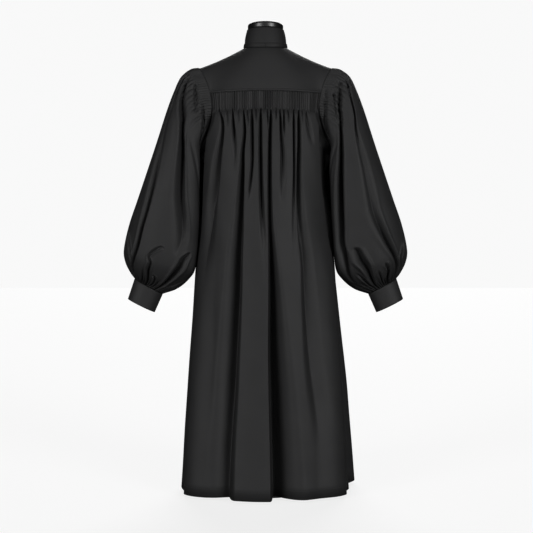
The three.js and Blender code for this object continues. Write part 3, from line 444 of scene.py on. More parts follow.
rightCreases = readFolds(crease, """
0.95 0.05: 20 42 0 5 5, 27 50 14 5 5, 33 68 22 6 7, 39 83 30 6 9, 60 101 38 6 11, 138 110 42 7 14,
    209 116 46 8 17, 253 119 46 9 18, 331 124 44 10 19, 396 127 38 10 18, 438 125 30 9 15,
    477 126 22 8 12, 515 137 12 7 9, 540 142 0 5 5
1.1 0.1: 32 30 0 5 5, 39 36 14 6 6, 61 52.5 20 7 7, 97 62.5 18 8 8, 120 70 11 11 11,
    168 71.5 7 16 16, 222 71.5 8 20 18, 291 73 11 20 22, 340 74 14 16 24, 381 70.5 19 12 22,
    427 64.5 25 9 18, 468 56 27 7 13, 507 49.5 19 6 9, 535 47 9 5 6, 556 46 3 4 4
1.0: 6 58 0 3 3, 7 66 10 4 4, 10 91.5 16 4 4, 9 108.5 16 5 5, 14 124 14 6 6, 24 132 0 6 6
1.1: 18 62 0 4 4, 21 68.5 14 4 4, 31 89 12 5 5, 37 97 5 6 6, 42 103 0 5 5
1.1: 23 40 0 4 4, 27 45 10 4 4, 34 51 7 5 5, 40 56 0 5 5
1.0 0.2: 556 108 8 3 3, 544 105.5 16 4 5, 528 103.5 24 6 7, 485 103 31 9 10, 460 106.5 28 10 12,
    434 109.5 18 9 10, 423 113 0 5 5
1.1 0.25: 556 118 5 3 3, 543 115.5 11 4 4, 522 116.5 12 5 5, 506 118 5 5 5, 498 119 0 4 4
1.1 0.4: 554 72 8 3 3, 536 70.5 14 4 4, 510 69.5 14 6 6, 497 73 8 6 6, 488 75 0 4 4
1.1 0.3: 554 86 6 3 3, 537 84.5 10 3 3, 517 87 8 5 6, 505 88 0 4 4
1.1 0.3: 536 37 0 4 4, 514 38.5 11 4 4, 489 42.5 10 5 6, 461 32 7 7 6, 446 27 0 5 5
1.4: 60 112 0 14 14, 140 138 6 14 24, 277 150 0 16 30
""")
# Creases of the side that faces forwards, alike on both sleeves.
frontCreases = readFolds(crease, """
1.3: 16 318 0 14 14, 40 318 12 16 16, 125 312 14 24 24, 277 306 14 30 30, 416 304 8 34 34,
    500 304 0 34 34
1.3: 16 282 0 14 14, 40 280 13 16 16, 125 268 16 24 24, 277 254 14 30 30, 416 248 9 32 32,
    500 246 0 32 32
1.1: 20 300 0 6 6, 34 300 9 7 7, 80 294 6 10 10, 140 290 0 12 12
1.1: 14 262 0 6 6, 30 258 9 7 7, 70 250 6 10 10, 130 244 0 12 12
1.1: 20 340 0 6 6, 36 340 8 8 8, 90 338 5 12 12, 150 336 0 12 12
""")
# Gathers above the cuff: angle at the cuff, angle at the top, the top's way along, depth and
# half width. How they bend and grow towards the top is alike for all.
leftGathers = readRows("""44 44 512 4 5, 54 54 530 4 4, 73 74 532 5 4, 88 88 538 5 3,
    104 106 526 6 5, 112 112 536 4 3, 138 146 520 5 6, 150 158 515 6 8, 168 172 490 6 12,
    192 190 480 7 12, 216 212 470 8 12, 240 238 480 8 12, 262 264 470 9 12, 284 280 485 8 11,
    306 304 475 8 12, 330 328 490 7 12, 352 352 500 5 12, 16 18 500 5 10, 30 30 515 4 8""")
rightGathers = readRows("""12 12 505 5 8, 26 26 520 4 6, 56 56 530 6 5, 64 64 538 4 3,
    78 79 536 6 4, 92 94 534 5 4, 99 99 540 4 3, 112 112 538 4 3, 124 130 526 6 6,
    140 150 515 6 9, 158 162 495 6 12, 186 186 485 7 12, 212 210 470 8 12, 236 236 480 8 12,
    260 258 470 9 12, 282 280 485 8 11, 304 304 470 8 12, 326 326 490 7 12, 348 348 500 5 12""")
gatherLook = {"curve": 1.4, "end": 1.12, "full": 0.45, "atCuff": 0.35, "narrow": 0.55, "bend": 1.2}


def creaseInward(folds, along, angle, perDegree):
    inward = np.zeros(angle.shape)
    for fold in folds:
        rows = fold["rows"]
        margin = creaseLook["margin"] * rows[:, 3:].max()
        middle, halfSpan = (rows[:, 1].max() + rows[:, 1].min()) / 2, np.ptp(rows[:, 1]) / 2
        near = (along > rows[:, 0].min() - margin) & (along < rows[:, 0].max() + margin)
        near &= (np.abs(turned(angle - middle)) - halfSpan) * perDegree < margin
        if not near.any():
            continue
        scale = perDegree[near][:, None]
        start, end = rows[:-1], rows[1:]
        run, turn = end[:, 0] - start[:, 0], (end[:, 1] - start[:, 1]) * scale
        alongBy = along[near][:, None] - start[:, 0]
        aroundBy = turned(angle[near][:, None] - start[:, 1]) * scale
        share = np.clip((alongBy * run + aroundBy * turn) / (run**2 + turn**2), 0, 1)
        away = np.hypot(alongBy - share * run, aroundBy - share * turn)
        lower, upper = (mix(start[:, k], end[:, k], share) for k in (3, 4))
        away = away / np.where(aroundBy - share * turn > 0, upper, lower)
        closest = away.argmin(axis=1)[:, None]
        away = np.take_along_axis(away, closest, axis=1)[:, 0]
        depth = np.take_along_axis(mix(start[:, 2], end[:, 2], share), closest, axis=1)[:, 0]
        dent = 1 - np.sin(np.clip(away, 0, 1) * math.pi / 2) ** fold["bend"]
        fromLip = (away - creaseLook["lipPlace"]) / creaseLook["lipWidth"]
        inward[near] += depth * (dent - fold["lip"] * np.exp(-(fromLip**2)))
    return inward


sleeveEnd = sleeveSections["along"][-1]
insetFade = 90  # the sleeve's oval rings take over this far from the armhole


def fading(along, reach):
    return (np.clip(1 - along / reach, 0, 1) ** 2)[..., None]


def sleeveSurface(drape, angle, along):
    angle, along = np.broadcast_arrays(np.asarray(angle, float), np.asarray(along, float))
    column = {name: smoothRead(sleeveSections["along"], values, along)
              for name, values in sleeveSections.items()}
    turn = np.radians(angle)
    outer = points(column["outerX"], 0, column["outerZ"])
    inner = points(column["innerX"], 0, column["innerZ"])
    halfDepth = column["halfDepth"]
    toOuter = (outer - inner) / 2
    halfWidth = np.linalg.norm(toOuter, axis=-1)
    place = (outer + inner) / 2 + toOuter * np.cos(turn)[..., None]
    place += points(0, halfDepth * np.sin(turn), 0)
    leaning = np.where(np.sin(turn) > 0, column[drape["lean"]], column["frontLean"])
    leaning = np.where(np.cos(turn) < 0, leaning * np.abs(np.sin(2 * turn)) ** leanBend, 0)
    place -= points(leaning, 0, 0)
    loopHeight = armhole["middleHeight"] + armhole["halfHeight"] * np.cos(turn)
    plainLoop = points(armhole["x"], sleeveSections["halfDepth"][0] * np.sin(turn), loopHeight)
    sunk = points(0, -np.sign(np.sin(turn)) * armholeSunk(loopHeight), 0)
    place += (armholePoint(angle) - sunk - plainLoop) * fading(along, insetFade)
    place += sunk * fading(along, armholeSink["sleeveReach"])
    perDegree = math.radians(1) * np.hypot(halfWidth * np.sin(turn), halfDepth * np.cos(turn))
    inward = creaseInward(drape["creases"], along, angle, perDegree)
    look = gatherLook
    for atCuff, atTop, top, depth, halfReach in drape["gathers"]:
        up = np.clip((sleeveEnd - along) / (sleeveEnd - top), 0, 1.3)
        bottom = atCuff + turned(atTop - atCuff) * up ** look["curve"]
        grown = look["atCuff"] + (1 - look["atCuff"]) * smoothStep(up, 0, 0.3)
        grown *= smoothStep(up, look["end"], look["full"])
        reach = mix(look["narrow"], 1, np.clip(up * 1.6, 0, 1)) * halfReach
        distance = turned(angle - bottom) * perDegree
        inward += depth * grown * foldShare(distance, reach, reach, look["bend"])
    normal = unit(points(toOuter[..., 0] * np.cos(turn) / halfWidth**2, np.sin(turn) / halfDepth,
                         toOuter[..., 2] * np.cos(turn) / halfWidth**2))
    return place - normal * inward[..., None]


# Meshes
# A sheet of quads from an array of rows of points in mm. Its UV map is in metres of cloth.
def gridMesh(name, rows, closed):
    rowCount, columnCount = rows.shape[:2]
    steps = np.linalg.norm(np.diff(rows, axis=1), axis=-1)
    acrossMiddle = np.concatenate([[0], np.cumsum(steps.mean(axis=0))]) * mm
    if closed:
        rows = rows[:, :-1]
    columns = rows.shape[1]
    index = np.arange(rowCount * columns).reshape(rowCount, columns)
    right = np.roll(index, -1, axis=1) if closed else index[:, 1:]
    left = index if closed else index[:, :-1]
    quads = np.stack([left[:-1], right[:-1], right[1:], left[1:]], axis=-1).reshape(-1, 4)
    mesh = bpy.data.meshes.new(name)
    mesh.from_pydata((rows.reshape(-1, 3) * mm).tolist(), [], quads.tolist())
    down = np.linalg.norm(np.diff(rows, axis=0), axis=-1).mean(axis=1)
    downMiddle = np.concatenate([[0], np.cumsum(down)]) * mm
    corners = np.stack([
        np.stack([acrossMiddle[c], downMiddle[r]], axis=-1)
        for r, c in gridCorners(rowCount, columnCount)
    ], axis=1)
    layer = mesh.uv_layers.new(name="UVMap")
    layer.data.foreach_set("uv", corners.reshape(-1).astype(np.float32))
    mesh.shade_smooth()
    thing = bpy.data.objects.new(name, mesh)
    bpy.context.collection.objects.link(thing)
    return thing


# Row and column numbers of each quad's four corners, in the order of the quads.
def gridCorners(rowCount, columnCount):
    r, c = np.meshgrid(np.arange(rowCount - 1), np.arange(columnCount - 1), indexing="ij")
    r, c = r.reshape(-1), c.reshape(-1)
    return [(r, c), (r, c + 1), (r + 1, c + 1), (r + 1, c)]


# Turns a sheet round if its faces look towards a point in metres, or towards the upright
# line through it.
def faceOutwards(thing, centre, levelOnly):
    mesh = thing.data
    normals = np.zeros(len(mesh.polygons) * 3)
    centres = np.zeros(len(mesh.polygons) * 3)
    mesh.polygons.foreach_get("normal", normals)
    mesh.polygons.foreach_get("center", centres)
    outwards = centres.reshape(-1, 3) - np.array(centre)
    if levelOnly:
        outwards[:, 2] = 0
    agreement = (normals.reshape(-1, 3) * outwards).sum()
    if agreement < 0:
        mesh.flip_normals()


def addWall(thing, thickness):
    wall = thing.modifiers.new("wall", "SOLIDIFY")
    wall.thickness = thickness * mm
    wall.offset = -1
    wall.use_rim = True


def finishPiece(thing, material, node):
    thing.data.materials.append(material)
    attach(thing, "root")
    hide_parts(node)


# Materials
def setInputs(node, values):
    for socket, value in values.items():
        node.inputs[socket].default_value = value


def addNode(tree, kind, values=None, **settings):
    node = tree.nodes.new(kind)
    for name, value in settings.items():
        setattr(node, name, value)
    setInputs(node, values or {})
    return node


# Each link is a pair: a node and its output, and a node and its input.
def wire(tree, *pairs):
    for (source, output), (target, socket) in pairs:
        tree.links.new(source.outputs[output], target.inputs[socket])


def newMaterial(name):
    material = bpy.data.materials.new(name)
    material.use_nodes = True
    tree = material.node_tree
    return material, tree, tree.nodes["Principled BSDF"]


def addNoise(tree, place, scale, detail):
    noise = addNode(tree, "ShaderNodeTexNoise", {"Scale": scale, "Detail": detail})
    wire(tree, ((place, "Object"), (noise, "Vector")))
    return noise


# The noise tints the shader's colour between two.
def addTint(tree, shader, noise, low, high):
    tint = addNode(tree, "ShaderNodeMix", {"A": (*low, 1), "B": (*high, 1)}, data_type="RGBA")
    wire(tree, ((noise, "Fac"), (tint, "Factor")), ((tint, "Result"), (shader, "Base Color")))


def addBump(tree, shader, height, strength, depth):
    bump = addNode(tree, "ShaderNodeBump", {"Strength": strength, "Distance": depth})
    wire(tree, (height, (bump, "Height")), ((bump, "Normal"), (shader, "Normal")))


# A wave texture of scale 1 repeats every pi / 10, and each thread is a tenth of it.
waveTurn = math.pi / 10 / 10
robeClothLook = {
    "colour": (0.021, 0.021, 0.0214),
    "paler": (0.028, 0.028, 0.0285),
    "cloudScale": 16,
    "cloudDetail": 4,
    "roughness": 0.62,
    "specular": 0.25,
    "threadPitch": 0.00055,
    "threadBend": 0.6,
    "grainScale": 420,
    "grainDetail": 3,
    "weaveDepth": 0.00008,
    "bump": 0.35,
}
plainLook = {"darker": 0.85, "paler": 1.15, "grainDetail": 5, "bump": 0.3}


# The shade darkens both of the cloth's colours. Below 1 it is painted shade on the same cloth, not
# a darker cloth.
def makeRobeCloth(name, shade):
    look = robeClothLook
    material, tree, shader = newMaterial(name)
    place = addNode(tree, "ShaderNodeTexCoord")
    clouds = addNoise(tree, place, look["cloudScale"], look["cloudDetail"])
    low, high = ([part * shade for part in look[key]] for key in ("colour", "paler"))
    addTint(tree, shader, clouds, low, high)
    weave = addNode(tree, "ShaderNodeMath", operation="MULTIPLY")
    for socket, direction in enumerate("XY"):  # warp and weft, along the cloth's own map
        thread = addNode(tree, "ShaderNodeTexWave", {
            "Scale": waveTurn / look["threadPitch"],
            "Distortion": look["threadBend"],
            "Detail": 1,
            "Detail Scale": look["threadBend"],
        }, bands_direction=direction)
        wire(tree, ((place, "UV"), (thread, "Vector")), ((thread, "Fac"), (weave, socket)))
    grain = addNoise(tree, place, look["grainScale"], look["grainDetail"])
    together = addNode(tree, "ShaderNodeMath", operation="ADD")
    wire(tree, ((weave, 0), (together, 0)), ((grain, "Fac"), (together, 1)))
    addBump(tree, shader, (together, 0), look["bump"], look["weaveDepth"])
    setInputs(shader, {"Roughness": look["roughness"], "Specular IOR Level": look["specular"]})
    return material


def makePlain(name, colour, roughness, specular, grainScale, grainDepth):
    look = plainLook
    material, tree, shader = newMaterial(name)
    grain = addNoise(tree, addNode(tree, "ShaderNodeTexCoord"), grainScale, look["grainDetail"])
    low, high = ([part * look[key] for part in colour] for key in ("darker", "paler"))
    addTint(tree, shader, grain, low, high)
    addBump(tree, shader, (grain, "Fac"), look["bump"], grainDepth)
    setInputs(shader, {"Roughness": roughness, "Specular IOR Level": specular})
    return material


robeCloth = makeRobeCloth("robeCloth", 1)
# The robe's own cloth darkened to 0.68 for the neck bands: painted shade.
bandClothPaintedShade = makeRobeCloth("bandClothPaintedShade", 0.68)
formJersey = makePlain("formJersey", (0.018, 0.018, 0.0185), 0.7, 0.3, 900, 0.0001)
capGloss = makePlain("capGloss", (0.008, 0.008, 0.008), 0.36, 0.5, 300, 0.00001)
standPaint = makePlain("standPaint", (0.015, 0.015, 0.016), 0.42, 0.5, 700, 0.00004)
print("materials made")

# Pieces of cloth
cloths = {}


# Cloth through rows of points, with its outside turned away from a centre in metres. It takes the
# place of the node of its own name.
def makeCloth(name, rows, centre, levelOnly=True, closed=False, wall=robe["cloth"],
              material=robeCloth):
    piece = cloths[name] = gridMesh(name, rows, closed)
    faceOutwards(piece, centre, levelOnly)
    addWall(piece, wall)
    node = "".join("_" + letter.lower() if letter.isupper() else letter for letter in name)
    finishPiece(piece, material, node)


# Floor, background, lights and camera
studio = {
    "camera": (-0.003, 3.2, 0.667),
    "lens": 72,
    "floor": (0.12, 0.12, 0.12),
    "floorSize": 60,
    "floorRoughness": 0.9,
    "floorSpecular": 0.1,
    "floorGlow": 0.83,
    "background": 0.956,
    "ambient": 0.035,
    "gamma": 0.8,
    # name, degrees round from the camera, degrees up, strength, how wide it looks in degrees
    "lamps": [
        ("keyRight", 38, 9, 2.9, 26),
        ("keyLeft", -42, 9, 2.4, 26),
        ("front", -3, 24, 0.5, 50),
        ("behind", 176, 34, 2.2, 40),
    ],
}


def makeStudio():
    bpy.ops.mesh.primitive_plane_add(size=studio["floorSize"])
    floor = bpy.context.object
    floor.name = "floor"
    white = (1, 1, 1, 1)
    material, _, shader = newMaterial("paleFloor")
    setInputs(shader, {
        "Base Color": (*studio["floor"], 1),
        "Roughness": studio["floorRoughness"],
        "Specular IOR Level": studio["floorSpecular"],
        "Emission Color": white,
        "Emission Strength": studio["floorGlow"],
    })
    floor.data.materials.append(material)
    floor.visible_diffuse = floor.visible_glossy = False  # the cloth is lit by the lamps alone
    world = bpy.data.worlds.new("studio")
    world.use_nodes = True
    bpy.context.scene.world = world
    tree = world.node_tree
    seen, output = tree.nodes["Background"], tree.nodes["World Output"]
    setInputs(seen, {"Color": white, "Strength": studio["background"]})
    soft = addNode(tree, "ShaderNodeBackground", {"Color": white, "Strength": studio["ambient"]})
    path = addNode(tree, "ShaderNodeLightPath")
    choose = addNode(tree, "ShaderNodeMixShader")
    wire(tree, ((path, "Is Camera Ray"), (choose, "Fac")), ((soft, 0), (choose, 1)),
         ((seen, 0), (choose, 2)), ((choose, 0), (output, "Surface")))
    for name, around, up, strength, width in studio["lamps"]:
        data = bpy.data.lights.new(name, "SUN")
        data.energy, data.angle = strength, math.radians(width)
        lamp = bpy.data.objects.new(name, data)
        lamp.rotation_euler = (math.radians(up - 90), 0, math.radians(around))
        bpy.context.collection.objects.link(lamp)
    eye = bpy.data.cameras.new("camera")
    eye.lens, eye.sensor_width = studio["lens"], 36
    camera = bpy.data.objects.new("camera", eye)
    camera.location = studio["camera"]
    camera.rotation_euler = (math.radians(90), 0, math.radians(180))
    bpy.context.collection.objects.link(camera)
    bpy.context.scene.camera = camera
    bpy.context.scene.view_settings.view_transform = "Standard"
    bpy.context.scene.view_settings.gamma = studio["gamma"]


makeStudio()
print("studio made")

# The panels: a stitched band of flutes, and the folds that start under it
panel = {
    "bandRows": 13,
    "upperRows": 46,
    "upperEnd": 850,
    "rowBend": 1.35,
    "lowerRows": 24,
    "backColumns": 521,
    "frontColumns": 221,
    "crowding": 0.42,  # how much closer the back's columns stand near its middle
    "freeAngle": 46,  # columns this far from the sides are straight
    "flutePitch": 6.4,
    "fluteRise": 5.0,
    "fluteRecess": 2.4,
    "fluteBend": 1.7,  # how narrow the flutes' crests are
    "seamDip": 0.7,
    "seamDipWidth": 3.2,
}


# Uneven flutes: how far they stand out, at a place across in mm.
def fluteHeight(position, seed):
    number = position / panel["flutePitch"]
    number = number + 0.22 * np.sin(number * 0.61 + seed) + 0.14 * np.sin(number * 1.37 + 2 * seed)
    strength = 0.62 + 0.3 * np.sin(number * 0.83 + seed) * np.sin(number * 0.37 + 1.3 * seed)
    strength += 0.28 * (np.sin(number * 2.399 + seed) > 0.86)
    crest = np.abs(np.sin(number * math.pi)) ** panel["fluteBend"]
    return panel["fluteRise"] * strength * crest - panel["fluteRecess"]


# Heights of a panel's rows, close together in the band and where the folds start.
def bodyRows(top):
    band = np.linspace(top - robe["seam"] / 2, bandBottom, panel["bandRows"])
    shares = np.linspace(0, 1, panel["upperRows"] + 1)[1:] ** panel["rowBend"]
    upper = bandBottom - (bandBottom - panel["upperEnd"]) * shares
    lower = np.linspace(panel["upperEnd"], robe["hemHeight"], panel["lowerRows"] + 1)[1:]
    return np.concatenate([band, upper, lower])


sideGap = math.degrees(robe["seam"] / 2 / bodySections["halfWidth"][0])
frontGap = math.degrees(robe["seam"] / 2 / bodySections["front"][-1])


def sideEdge(height):
    return np.maximum(bodyEdge(height), sideGap)


# The front is flat under the fly: 0 there, and 1 beside it and behind.
def pastFly(place):
    beside = smoothStep(np.abs(place[..., 0]) - fly["width"] / 2, 0, 5)
    return np.where(place[..., 1] < 0, beside, 1)


# A panel through these angles of the hem. The outer ones make room for the armholes.
def panelRows(top, angles, seed):
    heights = bodyRows(top)[:, None]
    fromSide = degreesFromSide(angles)[None, :]
    towardsMiddle = np.sign(angles.mean() - 180 * np.round(angles / 180))
    room = sideEdge(heights) * np.clip(1 - fromSide / panel["freeAngle"], 0, 1)
    angle = angles[None, :] + towardsMiddle[None, :] * room
    ground = bodySurface(angle, heights)
    steps = np.diff(bodySurface(angle[:1], heights[:1], False), axis=1)
    arc = np.concatenate([[0], np.cumsum(np.linalg.norm(steps, axis=-1))])[None, :]
    inBand = smoothStep(heights, bandBottom - 12, bandBottom + 4)
    edgeFade = smoothStep(np.minimum(arc, arc[0, -1] - arc), 1, 6)
    out = fluteHeight(arc, seed) * inBand * edgeFade * pastFly(ground)
    dip = np.exp(-(((heights - bandBottom - 2) / panel["seamDipWidth"]) ** 2)) * panel["seamDip"]
    return ground + bodyNormal(angle, heights) * (out - dip)[..., None]


# Shares from 0 to 1, closer together near the middle.
def spacedShares(count):
    s = np.linspace(-1, 1, count)
    return (s * (1 - panel["crowding"]) + panel["crowding"] * s**3 + 1) / 2


for name, top, angles, seed in (
    ("backPanel", robe["backYokeSeam"], 180 * spacedShares(panel["backColumns"]), 0.4),
    ("frontPanelLeft", robe["frontYokeSeam"],
     np.linspace(270 + frontGap, 360, panel["frontColumns"]), 1.7),
    ("frontPanelRight", robe["frontYokeSeam"],
     np.linspace(180, 270 - frontGap, panel["frontColumns"]), 2.9),
):
    makeCloth(name, panelRows(top, angles, seed), (0, 0, 0))
print("body panels made")

# Yokes
yoke = {"rows": 45, "rowBend": 1.8, "weltPlace": 0.98, "weltWidth": 0.009, "weltRise": 1.4}
seamShare = 0.97  # from here the yoke's edge is lifted off its seam
yokeRowShares = 1 - (1 - np.linspace(0, 1, yoke["rows"]))[:, None] ** yoke["rowBend"]


def yokeRows(angles):
    rows = yokeSurface(angles[None, :], yokeRowShares)
    along = unit(rows[:, 1:] - rows[:, :-1])
    rows[:, 0] += along[:, 0] * robe["seam"] / 2
    rows[:, -1] -= along[:, -1] * robe["seam"] / 2
    lift = smoothStep(yokeRowShares[:, 0], seamShare, 1) * robe["seam"] / 2
    onSeam = np.abs(np.sin(np.radians(angles))) > math.sin(math.radians(yokeCorner - 1))
    rows[..., 2] += lift[:, None] * onSeam[None, :]
    fromWelt = (yokeRowShares - yoke["weltPlace"]) / yoke["weltWidth"]
    welt = yoke["weltRise"] * np.exp(-(fromWelt**2)) * onSeam[None, :] * pastFly(rows)
    return rows + yokeNormal(angles[None, :], yokeRowShares) * welt[..., None]


for name, first, last, columns in (
    ("backYoke", 0, 180, 145),
    ("frontYokeRight", 180, 270, 73),
    ("frontYokeLeft", 270, 360, 73),
):
    makeCloth(name, yokeRows(np.linspace(first, last, columns)), (0, 0, 1.1), levelOnly=False)
print("yokes made")

# Sleeves and cuffs
sleeve = {
    "frontColumns": 110,
    "backColumns": 180,
    "capRows": 20,
    "capEnd": 44,
    "middleRows": 62,
    "middleEnd": 416,
    "cuffRows": 62,
    "bandWidth": 22,
    "fluteReach": 104,
    "flutes": 62,
    "fluteRise": 4.6,
    "fluteRecess": 2.0,
    "fluteBend": 1.6,
    "pleatRise": 4.2,
    "pleatReach": 17,
}
cuff = {
    "thickness": 2.5,
    "proud": 0.5,
    "outerX": 412,
    "outerZ": 570,
    "innerX": 333,
    "innerZ": 530.5,
    "halfDepth": 37,
    "columns": 96,
    "rows": 19,
    "start": 0.006,  # where its top edge is, as a share of its length
}


mirror = np.array([-1, 1, 1])


def sleeveRows(drape, mirrored, seed):
    along = np.concatenate([
        np.linspace(0, sleeve["capEnd"], sleeve["capRows"]),
        np.linspace(sleeve["capEnd"], sleeve["middleEnd"], sleeve["middleRows"])[1:],
        np.linspace(sleeve["middleEnd"], sleeveEnd, sleeve["cuffRows"])[1:],
    ])[:, None]
    ahead = np.linspace(-180, 0, sleeve["frontColumns"] + 1)
    behind = np.linspace(0, 180, sleeve["backColumns"] + 1)
    angle = np.concatenate([ahead, behind[1:]])[None, :]

    def surface(a, s):
        return sleeveSurface(drape, a, s)

    ground = surface(angle, along)
    normal = normalsOf(surface, angle, np.maximum(along, 0.6), 0.2, 0.5, -1)
    ground[:1] += unit(surface(angle, np.array([[3.0]])) - ground[:1]) * robe["seam"]
    width = sleeve["bandWidth"] * (0.86 + 0.1 * np.sin(angle / 23 + seed))
    number = (angle / sleeve["fluteReach"] + 1) / 2 * sleeve["flutes"]
    number = number + 0.2 * np.sin(number * 0.7 + seed)
    strength = 0.75 + 0.25 * np.sin(number * 0.83 + seed)
    crest = np.abs(np.sin(number * math.pi)) ** sleeve["fluteBend"]
    flutes = sleeve["fluteRise"] * strength * crest - sleeve["fluteRecess"]
    reach = smoothStep(np.abs(angle), sleeve["fluteReach"] + 6, sleeve["fluteReach"] - 6)
    out = flutes * reach * smoothStep(along, width + 9, width - 3) * smoothStep(along, -1, 3)
    pleats = np.abs(np.sin(number * math.pi / 2.3 + seed)) ** 0.8 - 0.6
    near = np.exp(-(((along - width - sleeve["pleatReach"] / 2) / sleeve["pleatReach"]) ** 2))
    pleats = sleeve["pleatRise"] * reach * near * pleats * smoothStep(along, width - 4, width + 4)
    rows = ground + normal * (out + pleats)[..., None]
    return rows * mirror if mirrored else rows


def cuffRows(mirrored, share, proud=0.0):
    angle = np.radians(np.linspace(-180, 180, cuff["columns"] + 1))[None, :]
    names = ("outerX", "outerZ", "innerX", "innerZ", "halfDepth")
    column = {n: mix(sleeveSections[n][-1], cuff[n], share[:, None]) for n in names}
    outer, inner = (points(column[n + "X"], 0, column[n + "Z"]) for n in ("outer", "inner"))
    toOuter = (outer - inner) / 2
    length = np.linalg.norm(toOuter, axis=-1, keepdims=True)
    proud = cuff["proud"] + proud
    toOuter = toOuter * (length + proud) / length
    place = (outer + inner) / 2 + toOuter * np.cos(angle)[..., None]
    rows = place + points(0, (column["halfDepth"] + proud) * np.sin(angle), 0)
    return rows * mirror if mirrored else rows


for side, creases, gathers, mirrored in (
    ("Left", leftCreases, leftGathers, False),
    ("Right", rightCreases, rightGathers, True),
):
    sign = -1 if mirrored else 1
    drape = {"creases": creases + frontCreases, "gathers": gathers, "lean": side.lower() + "Lean"}
    rows = sleeveRows(drape, mirrored, 0.8 + mirrored)
    makeCloth("sleeve" + side, rows, (sign * 0.29, 0, 0), closed=True)
    rows = cuffRows(mirrored, np.linspace(cuff["start"], 1, cuff["rows"]))
    makeCloth("cuff" + side, rows, (sign * 0.36, 0, 0), closed=True, wall=cuff["thickness"])
print("sleeves and cuffs made")

# Neck band and front fly
neckBand = {"height": 13, "lean": 1.4, "bulge": 0.5, "rows": 9, "columns": 97}


def neckBandRows(angles):
    shares = np.linspace(0, 1, neckBand["rows"])[:, None]
    turn = np.radians(angles)[None, :]
    out = points(np.cos(turn), np.sin(turn), 0)
    rows = necklinePoint(angles)[None] + points(0, 0, robe["seam"] + shares * neckBand["height"])
    bulge = neckBand["bulge"] * np.sin(shares * math.pi)
    return rows + out * (bulge - shares * neckBand["lean"])[..., None]


bandEnd = 90 - math.degrees(robe["seam"] / 2 / neckline["back"])
for name, middle in (("neckBandLeft", 0), ("neckBandRight", 180)):
    angles = np.linspace(middle - bandEnd, middle + bandEnd, neckBand["columns"])
    # The neck bands wear the robe's cloth darkened into painted shade.
    makeCloth(name, neckBandRows(angles), (0, 0, 0), material=bandClothPaintedShade)


def flyRows():
    across = np.linspace(-fly["width"] / 2, fly["width"] / 2, fly["columns"])
    rows = []
    out = robe["seam"] + robe["cloth"] + fly["proud"]
    for share in np.linspace(0.02, 0.98, fly["yokeRows"]):
        angle = np.full(across.shape, 270.0)
        for _ in range(8):  # finds the angles at which the yoke is this far across
            x = yokeSurface(angle, share)[:, 0]
            slope = (yokeSurface(angle + 0.05, share)[:, 0] - x) / 0.05
            angle = angle - (x - across) / slope
        rows.append(yokeSurface(angle, share) + yokeNormal(angle, share) * out)
    top = robe["frontYokeSeam"]
    for height in [top - 0.5, *bodyRows(top)[1:]]:
        angle = 270 + np.degrees(np.arcsin(across / sectionAt("halfWidth", height)))
        rows.append(bodySurface(angle, height) + bodyNormal(angle, height) * out)
    return np.array(rows)


makeCloth("frontFly", flyRows(), (0, 0, 0.3), levelOnly=False)
print("neck band and fly made")

# Topstitching: one thread, repeated along lines on the cloth
stitch = {
    "pitch": 4.2,
    "length": 3.0,
    "thickness": 0.55,
    "proud": 0.12,
    "wander": 0.08,
    "seed": 7,
    "yokeShare": 0.955,
    "yokeSpans": ((41, 139), (222, 266), (274, 318)),
    "flyInset": 4,
    "hemHeight": 34,
    "hemSpans": ((1, 179), (181, 267), (273, 359)),
    "cuffShares": (0.07, 0.93),
}
threadCloth = makePlain("thread", (0.03, 0.03, 0.031), 0.45, 0.35, 2400, 0.00003)


def stitchLines():
    share, height, proud = stitch["yokeShare"], stitch["hemHeight"], stitch["proud"]
    lines = []
    for first, last in stitch["yokeSpans"]:
        angle = np.linspace(first, last, 90)
        lines.append(yokeSurface(angle, share) + yokeNormal(angle, share) * proud)
    for mirrored in (False, True):
        lines += list(cuffRows(mirrored, np.array(stitch["cuffShares"]), proud))
    flat = flyRows()
    for start, end in ((0, -1), (-1, 0)):
        edge, across = flat[:, start], unit(flat[:, end] - flat[:, start])
        lines.append(edge + across * stitch["flyInset"] + points(0, -(robe["cloth"] + proud), 0))
    for first, last in stitch["hemSpans"]:
        angle = np.linspace(first, last, 400)
        lines.append(bodySurface(angle, height) + bodyNormal(angle, height) * proud)
    return lines


stitchInputs = {
    "Geometry": "Geometry",
    "Pitch": "Float",
    "Length": "Float",
    "Thickness": "Float",
    "Wander": "Float",
    "Seed": "Int",
    "Thread": "Material",
}


